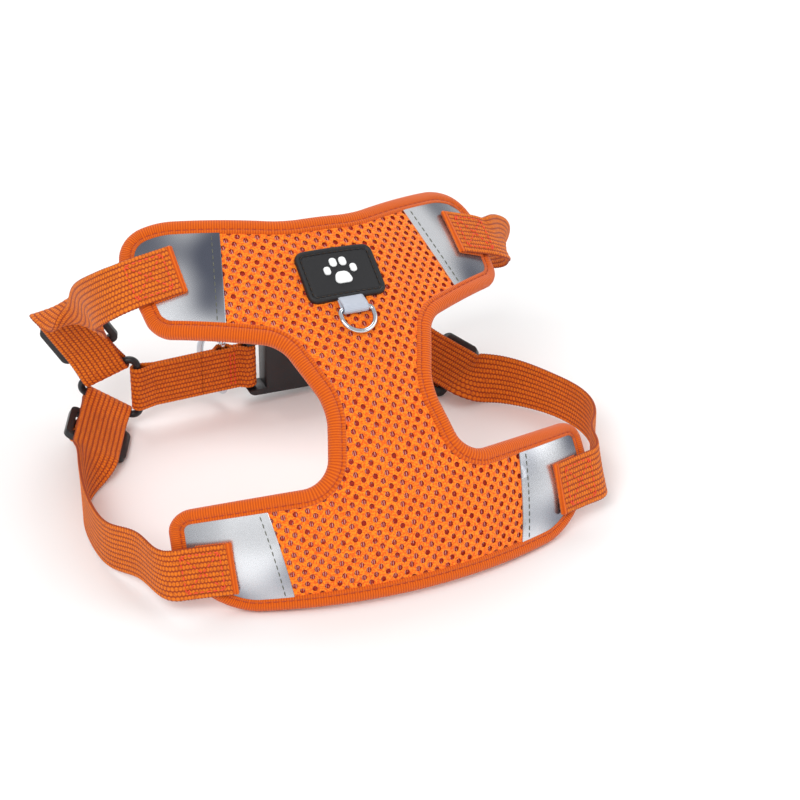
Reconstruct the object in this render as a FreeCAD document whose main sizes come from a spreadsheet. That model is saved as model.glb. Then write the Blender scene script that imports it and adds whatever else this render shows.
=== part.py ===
import FreeCAD, Part
import math
import os

import Sketcher
from FreeCAD import Matrix, Placement, Rotation, Vector

V2 = FreeCAD.Base.Vector2d

# A small-dog harness that clips at the chest: an H-shaped padded panel, four webbing
# straps with sliders, two triangle rings, and a back strap closed by a side-release buckle.
# X runs across the chest, Y from the chest to the back, Z up. The harness stands on Z = 0.

DIMENSIONS = {
    # the padded panel's curved surface
    "panel_lean": 5.76,
    "profile_radius": 81.6,
    "profile_ease": 0.03878,
    "chest_radius": 154.0,
    "twist_start": -1.0,
    "twist_rate": 0.054,
    "panel_lift": 1.7,
    "origin_side": 2.2,
    "origin_depth": 82.8,
    # layers of the panel, as heights from the middle of the padding
    "foam_half": 1.2,
    "mesh_top": 2.2,
    "lining_depth": 2.1,
    "patch_top": 2.6,
    "binding_top": 3.4,
    "binding_tape": 0.7,
    "binding_width": 6.5,
    "layer_gap": 0.1,
    # webbing
    "webbing_width": 20.0,
    "webbing_thick": 1.3,
    # the label
    "label_wide": 31.0,
    "label_tall": 22.0,
    "label_thick": 1.4,
    "label_rim": 1.3,
    "label_rise": 0.6,
    "label_height": 124.0,
    # metal rings
    "front_ring_wire": 1.8,
    "front_ring_wide": 13.2,
    "front_ring_tall": 9.6,
    "tape_wide": 10.0,
    "tape_thick": 0.8,
    "back_ring_wire": 2.8,
    "back_ring_wide": 24.0,
    "back_ring_tall": 16.0,
    # plastic triangle rings
    "triangle_wire": 3.0,
    "triangle_side": 30.0,
    "triangle_corner": 3.0,
    # tri-glide sliders
    "slider_wide": 26.5,
    "slider_long": 20.0,
    "slider_thick": 2.6,
    "slider_bar": 3.2,
    "slider_travel": 6.0,
    # side-release buckle
    "buckle_wide": 29.0,
    "buckle_thick": 9.0,
    "socket_long": 31.0,
    "plug_long": 15.5,
    # where the back strap runs
    "back_depth": 150.5,
    "back_height": 18.0,
    "left_ring_side": -57.0,
    "right_ring_side": 50.0,
    "left_ring_yaw": 25.0,
    "right_ring_yaw": 18.0,
    "buckle_start": -11.5,
}

doc = FreeCAD.newDocument("no_pull_harness")
sheet = doc.addObject("Spreadsheet::Sheet", "Dims")
for row, (alias, value) in enumerate(DIMENSIONS.items(), start=1):
    sheet.set(f"A{row}", alias)
    sheet.set(f"B{row}", str(value))
    sheet.setAlias(f"B{row}", alias)
doc.recompute()

nodes = []


def dim(alias):
    return float(sheet.get(alias))


ORIGIN = Vector(dim("origin_side"), dim("origin_depth"), 0)
WIDTH = dim("webbing_width")
THICK = dim("webbing_thick")
CLEAR = 0.3
BAR_CLEAR = 0.2
FOLD_NECK = 8.0
SNUG_WIDTH = WIDTH - 0.6


def to_part_frame(placement):
    return Placement(-ORIGIN, Rotation()).multiply(placement)


def feature(label, shape):
    """One plain shape as a node, moved from the building frame to the part's frame."""
    node = doc.addObject("Part::Feature", label)
    node.Shape = shape
    node.Placement = to_part_frame(Placement())
    nodes.append(node)
    return node


# ---------------------------------------------------------------- the panel's surface


LEAN = math.radians(dim("panel_lean"))
PROFILE_RADIUS = dim("profile_radius")
PROFILE_EASE = dim("profile_ease") / 1000
CHEST_RADIUS = dim("chest_radius")
TWIST_START = math.radians(dim("twist_start"))
TWIST_RATE = math.radians(dim("twist_rate"))
LIFT = dim("panel_lift")

# Five-point Gauss rule: where to sample a length, and the share each sample counts for.
GAUSS_RULE = [
    (0.0469101, 0.1184634),
    (0.2307653, 0.2393143),
    (0.5, 0.2844444),
    (0.7692347, 0.2393143),
    (0.9530899, 0.1184634),
]


def profile_slope(up):
    """The lean of the panel's middle line: it rolls back quickly at first, then less."""
    return LEAN + up / PROFILE_RADIUS - PROFILE_EASE * up * up


def spine_point(up):
    """Depth and height of the middle line after a length up it."""
    depth = sum(share * math.sin(profile_slope(up * part)) for part, share in GAUSS_RULE)
    height = sum(share * math.cos(profile_slope(up * part)) for part, share in GAUSS_RULE)
    return up * depth, up * height + LIFT


def panel_point(across, up, height=0.0):
    """A point of the curved panel: across and up are lengths measured along it."""
    slope = profile_slope(up)
    spine_y, spine_z = spine_point(up)
    turn = across / CHEST_RADIUS
    side = (CHEST_RADIUS + height) * math.sin(turn)
    depth = CHEST_RADIUS - (CHEST_RADIUS + height) * math.cos(turn)
    twist = TWIST_START + TWIST_RATE * up
    x = side * math.cos(twist) - depth * math.sin(twist)
    inward = depth * math.cos(twist) + side * math.sin(twist)
    return Vector(x, spine_y + inward * math.cos(slope), spine_z - inward * math.sin(slope))


def panel_axes(across, up, height=0.0):
    """The across, up and outward directions of the panel at one place."""
    step = 0.5
    along = panel_point(across + step, up, height) - panel_point(across - step, up, height)
    rise = panel_point(across, up + step, height) - panel_point(across, up - step, height)
    along.normalize()
    outward = along.cross(rise)
    outward.normalize()
    return along, outward.cross(along), outward


def frame_at(origin, x_axis, y_axis):
    z_axis = x_axis.cross(y_axis)
    z_axis.normalize()
    y_axis = z_axis.cross(x_axis)
    y_axis.normalize()
    x_axis.normalize()
    matrix = Matrix(
        x_axis.x, y_axis.x, z_axis.x, origin.x,
        x_axis.y, y_axis.y, z_axis.y, origin.y,
        x_axis.z, y_axis.z, z_axis.z, origin.z,
        0, 0, 0, 1)
    return Placement(matrix)


def curved_surface(height):
    """The panel's surface at one height, with parameters that are the flat lengths."""
    step = 8.0
    knots_u = [-104 + step * i for i in range(27)]
    knots_v = [-16 + step * i for i in range(26)]

    def greville(knots):
        full = [knots[0]] * 3 + knots + [knots[-1]] * 3
        return [sum(full[i + 1:i + 4]) / 3 for i in range(len(full) - 4)]

    poles = [[panel_point(u, v, height) for v in greville(knots_v)] for u in greville(knots_u)]
    surface = Part.BSplineSurface()
    ends_u = [4] + [1] * (len(knots_u) - 2) + [4]
    ends_v = [4] + [1] * (len(knots_v) - 2) + [4]
    surface.buildFromPolesMultsKnots(poles, ends_u, ends_v, knots_u, knots_v, False, False, 3, 3)
    return surface


def lay_edge(edge, surface):
    """A flat edge laid on the curved surface."""
    first, last = edge.FirstParameter, edge.LastParameter
    ends = [edge.valueAt(t) for t in (first, (first + last) / 2, last)]
    start, middle, finish = [V2(point.x, point.y) for point in ends]
    if isinstance(edge.Curve, Part.Circle):
        return Part.Geom2d.ArcOfCircle2d(start, middle, finish).toShape(surface)
    return Part.Geom2d.Line2dSegment(start, finish).toShape(surface)


def lay_wire(wire, height):
    surface = curved_surface(height)
    return [lay_edge(edge, surface) for edge in wire.OrderedEdges]


def cap(wires, height):
    """The face at one height inside the first wire and outside the others."""
    surface = curved_surface(height)
    outer = Part.Face(surface, Part.Wire([lay_edge(e, surface) for e in wires[0].OrderedEdges]))
    for hole in wires[1:]:
        island = Part.Face(surface, Part.Wire([lay_edge(e, surface) for e in hole.OrderedEdges]))
        outer = outer.cut(island).Faces[0]
    return outer


def walls(wire, low, high):
    pairs = zip(lay_wire(wire, low), lay_wire(wire, high))
    return [Part.makeRuledSurface(bottom, top) for bottom, top in pairs]


def sewn(faces):
    """A closed solid from faces that meet edge to edge."""
    shell = Part.Compound(faces)
    shell.sewShape(0.01)
    solid = Part.Solid(shell.Shells[0])
    if solid.Volume < 0:
        solid.reverse()
    return solid


def layer(flat, low, high):
    """A flat region of the panel as a curved layer between two heights."""
    wires = [flat.OuterWire] + [w for w in flat.Wires if not w.isSame(flat.OuterWire)]
    faces = [cap(wires, low), cap(wires, high)]
    for wire in wires:
        faces += walls(wire, low, high)
    return sewn(faces)


# ---------------------------------------------------------------- flat outlines


def rounded(corners):
    """A closed flat outline: each corner is a point and the radius that rounds it."""
    count = len(corners)
    edges = []
    last = None
    first = None
    for index, (x, y, radius) in enumerate(corners):
        here = Vector(x, y, 0)
        before = Vector(*corners[index - 1][:2], 0)
        after = Vector(*corners[(index + 1) % count][:2], 0)
        back = (before - here).normalize()
        ahead = (after - here).normalize()
        half = back.getAngle(ahead) / 2
        reach = radius / math.tan(half)
        start = here + back * reach
        finish = here + ahead * reach
        middle_way = (back + ahead).normalize()
        centre = here + middle_way * (radius / math.sin(half))
        middle = centre - middle_way * radius
        if last is not None:
            edges.append(Part.makeLine(last, start))
        else:
            first = start
        edges.append(Part.Arc(start, middle, finish).toShape())
        last = finish
    edges.append(Part.makeLine(last, first))
    return Part.Wire(edges)


# Right half of the H-shaped outline, from the bottom middle to the top middle.
HALF_OUTLINE = [
    (70.0, 0.0, 24.0),
    (88.5, 24.0, 20.0),
    (87.5, 50.0, 9.0),
    (27.5, 46.5, 11.0),
    (21.0, 74.0, 22.0),
    (31.0, 101.5, 13.0),
    (74.0, 119.5, 11.0),
    (78.5, 163.0, 13.0),
    (58.0, 163.5, 30.0),
    (14.0, 150.5, 40.0),
]


def panel_outline():
    right = HALF_OUTLINE
    left = [(-x, y, radius) for x, y, radius in reversed(right)]
    return rounded(right + left)


def inset(wire, distance):
    return wire.makeOffset2D(-distance, 0, False, False, True)


outline = panel_outline()


def make_padding():
    """Lining at the back, foam in the middle, mesh at the front, all a little inside."""
    gap = dim("layer_gap")
    inner = Part.Face(inset(outline, dim("binding_tape") + gap))
    foam = dim("foam_half")
    feature("inner_lining", layer(inner, -dim("lining_depth"), -foam - gap))
    feature("foam_core", layer(inner, -foam, foam))
    feature("mesh_face_panel", layer(inner, foam + gap, dim("mesh_top")))


def make_binding():
    """Binding tape folded over the whole edge: a front band, an edge wall and a back band."""
    tape = dim("binding_tape")
    top = dim("binding_top")
    back = dim("lining_depth") + dim("layer_gap") + tape
    lap = inset(outline, dim("binding_width"))
    fold = inset(outline, tape)
    faces = [
        cap([outline, lap], top),
        cap([outline, lap], -back),
        cap([fold, lap], top - tape),
        cap([fold, lap], tape - back),
    ]
    faces += walls(outline, -back, top)
    faces += walls(fold, tape - back, top - tape)
    faces += walls(lap, top - tape, top)
    faces += walls(lap, -back, tape - back)
    feature("edge_binding", sewn(faces))


# Where each reflective patch meets the mesh: the line's two ends on the right half.
TOP_PATCH_LINE = [(33.5, 170.0), (49.5, 105.0)]
BOTTOM_PATCH_LINE = [(53.5, 60.0), (43.5, -8.0)]


def make_patches():
    """Reflective film over the end of each arm."""
    inner = Part.Face(inset(outline, dim("binding_tape") + dim("layer_gap")))
    low = dim("mesh_top") + dim("layer_gap") / 2
    for side, sign in (("left", -1), ("right", 1)):
        for level, line in (("top", TOP_PATCH_LINE), ("bottom", BOTTOM_PATCH_LINE)):
            edge = [Vector(sign * x, y, 0) for x, y in line]
            far = [Vector(sign * 100, line[1][1], 0), Vector(sign * 100, line[0][1], 0)]
            half = Part.Face(Part.makePolygon(edge + far + [edge[0]]))
            flat = inner.common(half).Faces[0]
            feature(f"reflective_patch_{level}_{side}", layer(flat, low, dim("patch_top")))


# ---------------------------------------------------------------- the label


def box_outline(wide, tall, radius, middle_up):
    x = wide / 2
    low = middle_up - tall / 2
    high = middle_up + tall / 2
    return rounded([(x, low, radius), (x, high, radius), (-x, high, radius), (-x, low, radius)])


def round_outline(x, y, radius):
    edges = []
    for start in (0, 180):
        angles = [math.radians(start + turn) for turn in (0, 90, 180)]
        points = [Vector(x + radius * math.cos(a), y + radius * math.sin(a), 0) for a in angles]
        edges.append(Part.Arc(*points).toShape())
    return Part.Wire(edges)


def make_label():
    """A soft moulded label with a raised rim and a raised paw print."""
    wide, tall = dim("label_wide"), dim("label_tall")
    up = dim("label_height")
    low = dim("mesh_top") + dim("layer_gap")
    top = low + dim("label_thick")
    plate = box_outline(wide, tall, 3.0, up)
    feature("label_plate", layer(Part.Face(plate), low, top))
    rim_in = box_outline(wide - 2 * dim("label_rim"), tall - 2 * dim("label_rim"), 2.0, up)
    rim = Part.Face(plate).cut(Part.Face(rim_in)).Faces[0]
    feature("label_rim", layer(rim, top, top + dim("label_rise")))
    feature("paw_pad", layer(Part.Face(round_outline(0, up - 2.2, 3.0)), top, top + dim("label_rise")))
    toes = [(-4.6, 1.0), (-1.7, 3.8), (1.7, 3.8), (4.6, 1.0)]
    for number, (x, y) in enumerate(toes, start=1):
        toe = Part.Face(round_outline(x, up + y, 1.25))
        feature(f"paw_toe_{number}", layer(toe, top, top + dim("label_rise")))


# ---------------------------------------------------------------- bodies from sketches


def plane_of(body, role):
    return next(item for item in body.Origin.OriginFeatures if item.Role == role)


def sketch_on(body, role, name, wires):
    """A sketch on one of the body's own planes, drawn from flat edges."""
    sketch = body.newObject("Sketcher::SketchObject", name)
    sketch.AttachmentSupport = [(plane_of(body, role), "")]
    sketch.MapMode = "FlatFace"
    for wire in wires:
        for edge in wire.OrderedEdges:
            curve = edge.Curve
            if isinstance(curve, Part.Circle):
                span = [edge.valueAt(t) for t in (
                    edge.FirstParameter,
                    (edge.FirstParameter + edge.LastParameter) / 2,
                    edge.LastParameter)]
                sketch.addGeometry(Part.Arc(*span), False)
            else:
                points = [edge.valueAt(edge.FirstParameter), edge.valueAt(edge.LastParameter)]
                sketch.addGeometry(Part.LineSegment(*points), False)
    return sketch


def new_body(label):
    body = doc.addObject("PartDesign::Body", label)
    body.Label = label
    nodes.append(body)
    return body


def pad(body, sketch, expression):
    solid = body.newObject("PartDesign::Pad", f"{body.Label}_pad")
    solid.Profile = sketch
    solid.setExpression("Length", expression)
    return solid


def pocket(body, sketch, expression, flip=False):
    """A pocket that is checked to cut: its direction is turned round if it cuts nothing."""
    doc.recompute()
    before = body.Shape.Volume
    cut = body.newObject("PartDesign::Pocket", f"{body.Label}_pocket")
    cut.Profile = sketch
    cut.setExpression("Length", expression)
    cut.Reversed = flip
    doc.recompute()
    if body.Shape.Volume > before - 0.01:
        cut.Reversed = not flip
        doc.recompute()
    return cut


def place(body, placement):
    body.Placement = to_part_frame(placement)


def wire_ring(label, path, wire_alias, placement):
    """A ring of round wire: a circle carried along a closed path that starts on the Y axis."""
    body = new_body(label)
    spine = sketch_on(body, "XY_Plane", f"{label}_path", [path])
    profile = body.newObject("Sketcher::SketchObject", f"{label}_profile")
    profile.AttachmentSupport = [(plane_of(body, "YZ_Plane"), "")]
    profile.MapMode = "FlatFace"
    circle = profile.addGeometry(Part.Circle(Vector(0, 0, 0), Vector(0, 0, 1), dim(wire_alias) / 2))
    profile.addConstraint(Sketcher.Constraint("Radius", circle, dim(wire_alias) / 2))
    profile.setExpression("Constraints[0]", f"Dims.{wire_alias} / 2")
    pipe = body.newObject("PartDesign::AdditivePipe", f"{label}_pipe")
    pipe.Profile = profile
    pipe.Spine = (spine, [])
    place(body, placement)
    return body


def split_first_edge(wire):
    """The same closed wire, with its last straight edge cut in half so it starts there."""
    edges = list(wire.OrderedEdges)
    last = edges.pop()
    middle = last.valueAt((last.FirstParameter + last.LastParameter) / 2)
    start = last.valueAt(last.FirstParameter)
    finish = last.valueAt(last.LastParameter)
    return Part.Wire([Part.makeLine(middle, finish)] + edges + [Part.makeLine(start, middle)])


def d_path(wide, tall, corner=1.6):
    """The middle line of a D-ring: a straight bar on the X axis and a bow below it."""
    x = wide / 2
    bow = tall - x * 0.85
    return split_first_edge(Part.Wire([
        Part.Arc(Vector(x - corner, 0, 0), Vector(x - corner * 0.29, -corner * 0.29, 0),
                 Vector(x, -corner, 0)).toShape(),
        Part.makeLine(Vector(x, -corner, 0), Vector(x, -bow, 0)),
        Part.Arc(Vector(x, -bow, 0), Vector(0, -tall, 0), Vector(-x, -bow, 0)).toShape(),
        Part.makeLine(Vector(-x, -bow, 0), Vector(-x, -corner, 0)),
        Part.Arc(Vector(-x, -corner, 0), Vector(-x + corner * 0.29, -corner * 0.29, 0),
                 Vector(-x + corner, 0, 0)).toShape(),
        Part.makeLine(Vector(-x + corner, 0, 0), Vector(x - corner, 0, 0)),
    ]))


# ---------------------------------------------------------------- rings at chest and back


def make_front_ring():
    """A loop of ribbon under the label carries the chrome ring that the lead clips to."""
    wire = dim("front_ring_wire") / 2
    thick = dim("tape_thick")
    hole = wire + 0.25
    low = dim("mesh_top") + dim("layer_gap")
    height = low + thick + hole
    up = dim("label_height") - dim("label_tall") / 2 - 5.0
    across_axis, up_axis, outward = panel_axes(0, up, height)
    pivot = panel_point(0, up, height)
    ring = d_path(dim("front_ring_wide"), dim("front_ring_tall"))
    wire_ring("front_ring", ring, "front_ring_wire", frame_at(pivot, across_axis, up_axis))

    outer = hole + thick
    tail = 4.6
    loop = new_body("ring_tape")
    shell = Part.Wire([
        Part.Arc(Vector(0, outer, 0), Vector(-outer, 0, 0), Vector(0, -outer, 0)).toShape(),
        Part.makeLine(Vector(0, -outer, 0), Vector(tail, -outer, 0)),
        Part.makeLine(Vector(tail, -outer, 0), Vector(tail, thick - outer + thick, 0)),
        Part.makeLine(Vector(tail, thick - outer + thick, 0), Vector(0, outer, 0)),
    ])
    bore = round_outline(0, 0, hole)
    pad(loop, sketch_on(loop, "XY_Plane", "ring_tape_side", [shell, bore]), "Dims.tape_wide")
    side = frame_at(pivot - across_axis * (dim("tape_wide") / 2), up_axis, outward)
    place(loop, side)


def webbing_fold(label, pivot, tail_axis, thick_axis, length):
    """A doubled end of webbing that wraps a bar at the pivot and runs out along its tail."""
    hole = dim("triangle_wire") / 2 + BAR_CLEAR
    outer = hole + THICK
    neck = FOLD_NECK
    body = new_body(label)
    shell = Part.Wire([
        Part.Arc(Vector(0, outer, 0), Vector(-outer, 0, 0), Vector(0, -outer, 0)).toShape(),
        Part.makeLine(Vector(0, -outer, 0), Vector(neck, -THICK, 0)),
        Part.makeLine(Vector(neck, -THICK, 0), Vector(length, -THICK, 0)),
        Part.makeLine(Vector(length, -THICK, 0), Vector(length, THICK, 0)),
        Part.makeLine(Vector(length, THICK, 0), Vector(neck, THICK, 0)),
        Part.makeLine(Vector(neck, THICK, 0), Vector(0, outer, 0)),
    ])
    bore = Part.Wire([
        Part.Arc(Vector(0, hole, 0), Vector(-hole, 0, 0), Vector(0, -hole, 0)).toShape(),
        Part.makeLine(Vector(0, -hole, 0), Vector(neck - 1.0, 0, 0)),
        Part.makeLine(Vector(neck - 1.0, 0, 0), Vector(0, hole, 0)),
    ])
    sketch = sketch_on(body, "XY_Plane", f"{label}_side", [shell, bore])
    pad(body, sketch, "Dims.webbing_width - 0.6")
    width_axis = tail_axis.cross(thick_axis)
    place(body, frame_at(pivot - width_axis * (SNUG_WIDTH / 2), tail_axis, thick_axis))


# ---------------------------------------------------------------- triangle rings


def triangle_corners():
    side = dim("triangle_side")
    return side / 2, side * math.sqrt(3) / 2


def make_triangle_ring(label, bar_middle, apex_axis):
    """A plastic triangle that joins three straps: one bar upright, two bars to the apex."""
    half, reach = triangle_corners()
    corner = dim("triangle_corner")
    flat = rounded([(half, 0, corner), (0, -reach, corner), (-half, 0, corner)])
    path = split_first_edge(flat)
    wire_ring(label, path, "triangle_wire", frame_at(bar_middle, Vector(0, 0, 1), -apex_axis))


class RingStation:
    """Where one triangle ring stands and where a strap leaves each of its slanted bars."""

    def __init__(self, side, sign, yaw):
        angle = math.radians(yaw)
        self.bar = Vector(side, dim("back_depth"), dim("back_height"))
        self.apex_axis = Vector(sign * math.cos(angle), math.sin(angle), 0)
        self.facing = Vector(sign * math.sin(angle), -math.cos(angle), 0)

    def bar_middle(self, level):
        half, reach = triangle_corners()
        rise = Vector(0, 0, half / 2 if level == "top" else -half / 2)
        return self.bar + self.apex_axis * (reach / 2) + rise

    def outward(self, level):
        up = Vector(0, 0, 1 if level == "top" else -1)
        return (self.apex_axis * 0.5 + up * (math.sqrt(3) / 2)).normalize()

    def bar_axis(self, level):
        drop = Vector(0, 0, -0.5 if level == "top" else 0.5)
        return (self.apex_axis * (math.sqrt(3) / 2) + drop).normalize()


LEFT_RING = RingStation(dim("left_ring_side"), -1, dim("left_ring_yaw"))
RIGHT_RING = RingStation(dim("right_ring_side"), 1, dim("right_ring_yaw"))


# ---------------------------------------------------------------- straps


def window(low, high, half):
    """A flat rectangle as wide as twice its half, between two places along the X axis."""
    points = [(low, -half), (high, -half), (high, half), (low, half), (low, -half)]
    return Part.makePolygon([Vector(x, y, 0) for x, y in points])


def make_slider(name, middle, along, width_axis, under):
    """A tri-glide slider under the webbing, with the strap's sewn end looped round its bar."""
    wide, long, thick = dim("slider_wide"), dim("slider_long"), dim("slider_thick")
    bar = dim("slider_bar")
    channel = WIDTH / 2 + 0.5
    loop_top = thick / 2 - 0.4 + 0.2 + 1.1
    centre = middle + under * (THICK / 2 + CLEAR + loop_top)
    across = (-under).cross(along)

    slider = new_body(f"slider_{name}")
    outer = rounded([
        (long / 2, -wide / 2, 3.0), (long / 2, wide / 2, 3.0),
        (-long / 2, wide / 2, 3.0), (-long / 2, -wide / 2, 3.0)])
    inner = long / 2 - bar
    holes = [window(bar / 2, inner, channel), window(-inner, -bar / 2, channel)]
    frame = sketch_on(slider, "XY_Plane", f"slider_{name}_frame", [outer] + holes)
    pad(slider, frame, "Dims.slider_thick")
    thin = sketch_on(slider, "XY_Plane", f"slider_{name}_bar", [window(-bar, bar, channel)])
    thin.AttachmentOffset = Placement(Vector(0, 0, thick), Rotation())
    pocket(slider, thin, "0.4 mm")
    place(slider, frame_at(centre + under * (thick / 2), Vector(along), Vector(across)))

    # Side view of the loop: x along the strap, y out of the slider's middle.
    reach = bar / 2 + 0.2
    low = -thick / 2 - 0.2
    loop = new_body(f"slider_loop_{name}")
    side = rounded([
        (-reach - 1.1, loop_top, 1.0), (-reach - 1.1, low - 1.1, 1.0), (long / 2 - 1, low - 1.1, 0.3),
        (long / 2 - 1, low, 0.3), (reach + 1.1, low, 0.3), (reach + 1.1, loop_top, 1.0)])
    hole = rounded([
        (-reach, loop_top - 1.1, 0.3), (-reach, low, 0.3), (reach, low, 0.3),
        (reach, loop_top - 1.1, 0.3)])
    profile = sketch_on(loop, "XY_Plane", f"slider_loop_{name}_side", [side, hole])
    pad(loop, profile, "Dims.webbing_width")
    thick_axis = -under
    pad_axis = along.cross(thick_axis)
    place(loop, frame_at(centre - pad_axis * (WIDTH / 2), Vector(along), thick_axis))


def webbing(label, stations):
    """Flat webbing through its stations, each a middle point and the way its width lies."""
    middles = [point for point, _ in stations]
    curve = Part.BSplineCurve()
    knots = [0.0]
    for before, after in zip(middles, middles[1:]):
        knots.append(knots[-1] + (after - before).Length)
    curve.interpolate(middles, Parameters=knots)
    edge = Part.BSplineCurve()
    edges = [point + Vector(wide).normalize() * (WIDTH / 2) for point, wide in stations]
    edge.interpolate(edges, Parameters=knots)
    total = knots[-1]
    count = int(total / 5.0)
    sections = []
    for index in range(count + 1):
        here = total * index / count
        wide = edge.value(here) - curve.value(here)
        tangent = curve.tangent(here)[0]
        face = tangent.cross(wide).normalize() * (THICK / 2)
        wide = face.cross(tangent).normalize() * (WIDTH / 2)
        point = curve.value(here)
        corners = [point + wide + face, point - wide + face, point - wide - face, point + wide - face]
        sections.append(Part.makePolygon(corners + corners[:1]))
    feature(label, Part.makeLoft(sections, True, False))


def sewn_stations(sign, up, places):
    """Stations of a strap's sewn end on the panel, as across lengths and heights."""
    found = []
    for across, height in places:
        _, rise, _ = panel_axes(sign * across, up, height)
        found.append((panel_point(sign * across, up, height), rise))
    return found


def ring_run(ring, level, tilt, distances):
    """Straight stations where a strap comes to its ring, and the direction it leaves in."""
    angle = math.radians(tilt)
    away = ring.outward(level) * math.cos(angle) + ring.facing * math.sin(angle)
    start = ring.bar_middle(level)
    axis = ring.bar_axis(level)
    return [(start + away * distance, axis) for distance in distances], away, axis


FOLD = 12.0
TOWARD_FRONT = Vector(-0.35, -0.7, 0.6)
HEIGHT_ON_PATCH = dim("patch_top") + THICK / 2 + 0.6
HEIGHT_ON_BINDING = dim("binding_top") + THICK / 2 + 1.1

# Each strap: its ring, the tilt it leaves the ring with, the slider's distance, the places
# of its sewn end, and the free stations from the panel to the slider.
STRAPS = {
    "top_left": (LEFT_RING, "top", 8.0, 19.0, -1, 141.0, [
        (Vector(-86.7, 99, 91.8), Vector(0, 0.8, 0.6)),
        (Vector(-85.4, 118, 76.3), Vector(-0.3, 0.85, 0.35)),
        (Vector(-83.7, 137, 61.4), Vector(-0.6, 0.75, -0.1)),
    ]),
    "top_right": (RIGHT_RING, "top", 30.0, 19.0, 1, 141.0, [
        (Vector(82.8, 108, 77.8), Vector(0, 0.75, 0.66)),
        (Vector(89, 117, 69.5), Vector(0.35, 0.6, 0.5)),
        (Vector(87.5, 128, 60), Vector(0.7, 0.35, 0.1)),
    ]),
    "bottom_left": (LEFT_RING, "bottom", 90.0, 20.0, -1, 22.0, [
        (Vector(-93, 42, 15), Vector(0, 0.1, 1)),
        (Vector(-99, 56, 12), Vector(0, 0, 1)),
        (Vector(-101, 73, 10.8), Vector(0, 0, 1)),
        (Vector(-99, 91, 10.5), Vector(0, 0, 1)),
        (Vector(-93.5, 107, 10.3), Vector(-0.2, 0.05, 1)),
        (Vector(-89, 115, 10.2), Vector(-0.45, 0.2, 0.85)),
    ]),
    "bottom_right": (RIGHT_RING, "bottom", 90.0, 22.0, 1, 22.0, [
        (Vector(94, 43.5, 14), Vector(0, 0.1, 1)),
        (Vector(100.5, 55, 12), Vector(0, 0, 1)),
        (Vector(105, 67, 11), Vector(0, 0, 1)),
        (Vector(104.6, 78.4, 10.6), Vector(0, 0, 1)),
        (Vector(99.8, 91, 10.5), Vector(0, 0, 1)),
        (Vector(91.3, 104, 10.4), Vector(0.2, 0, 1)),
        (Vector(83, 112, 10.2), Vector(0.45, 0.1, 0.85)),
    ]),
}


def make_straps():
    for name, (ring, level, tilt, slider_at, sign, up, free) in STRAPS.items():
        reach = slider_at + dim("slider_long") / 2 + dim("slider_travel")
        straight = [reach, reach - 4, slider_at + 4, slider_at - 2, FOLD + 0.4]
        run, away, axis = ring_run(ring, level, tilt, straight)
        if level == "top":
            places = [(58.4, HEIGHT_ON_PATCH), (65, HEIGHT_ON_PATCH + 0.5), (74, HEIGHT_ON_BINDING),
                      (80, HEIGHT_ON_BINDING)]
        else:
            places = [(67.5, HEIGHT_ON_PATCH), (74, HEIGHT_ON_PATCH + 0.5), (83, HEIGHT_ON_BINDING + 0.4),
                      (88, HEIGHT_ON_BINDING + 0.9)]
        webbing(f"strap_{name}", sewn_stations(sign, up, places) + free + run)
        middle = ring.bar_middle(level)
        webbing_fold(f"strap_fold_{name}", middle, Vector(away), away.cross(axis).normalize(), FOLD)
        under = away.cross(axis).normalize()
        if under.dot(TOWARD_FRONT) > 0:
            under = -under
        make_slider(name, middle + away * slider_at, Vector(away), Vector(axis), under)


# ---------------------------------------------------------------- back strap and buckle

RING_FROM_BAR = 10.0


def back_strap(label, ring_side, bar_side, carries_ring):
    """Webbing between a triangle ring's upright bar and the buckle's bar, looped round both."""
    sign = 1 if bar_side > ring_side else -1
    length = abs(bar_side - ring_side)
    near_hole = dim("triangle_wire") / 2 + BAR_CLEAR
    far_hole = 2.3
    near, far = near_hole + THICK, far_hole + THICK
    neck = min(FOLD_NECK, length * 0.45)
    upper_points = [(0, near), (neck, THICK), (length - 3.6, THICK), (length, far)]
    bores = [round_outline(0, 0, near_hole), round_outline(length, 0, far_hole)]
    if carries_ring:
        ring_at = length - RING_FROM_BAR
        bulge = dim("back_ring_wire") / 2 + BAR_CLEAR
        crown = 2 * bulge + THICK
        upper_points[2:2] = [(ring_at - 5, THICK), (ring_at - 1.4, crown), (ring_at + 1.4, crown)]
        bores.append(round_outline(ring_at, bulge, bulge))
    lower_points = [(length, -far), (length - 3.6, -THICK), (neck, -THICK), (0, -near)]
    sides = []
    for points in (upper_points, lower_points):
        ends = [Vector(x, y, 0) for x, y in points]
        sides.append([Part.makeLine(a, b) for a, b in zip(ends, ends[1:])])
    far_end = Part.Arc(Vector(length, far, 0), Vector(length + far, 0, 0), Vector(length, -far, 0))
    near_end = Part.Arc(Vector(0, -near, 0), Vector(-near, 0, 0), Vector(0, near, 0))
    shell = Part.Wire(sides[0] + [far_end.toShape()] + sides[1] + [near_end.toShape()])
    body = new_body(label)
    sketch = sketch_on(body, "XY_Plane", f"{label}_side", [shell] + bores)
    pad(body, sketch, "Dims.webbing_width - 0.6")
    low = Vector(ring_side, dim("back_depth"), dim("back_height") - SNUG_WIDTH / 2)
    if sign < 0:
        low = low + Vector(0, 0, SNUG_WIDTH)
    place(body, frame_at(low, Vector(sign, 0, 0), Vector(0, 1, 0)))


def mid_sketch(body, name, wires, height):
    sketch = sketch_on(body, "XY_Plane", name, wires)
    sketch.AttachmentOffset = Placement(Vector(0, 0, height), Rotation())
    return sketch


def buckle_placement():
    corner = Vector(dim("buckle_start"), dim("back_depth"), dim("back_height"))
    depth = dim("buckle_thick") / 2
    return frame_at(corner + Vector(0, depth, 0), Vector(1, 0, 0), Vector(0, 0, 1))


BAR = 3.0
RELIEF = "(Dims.buckle_thick - 2.8) / 2"


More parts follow.
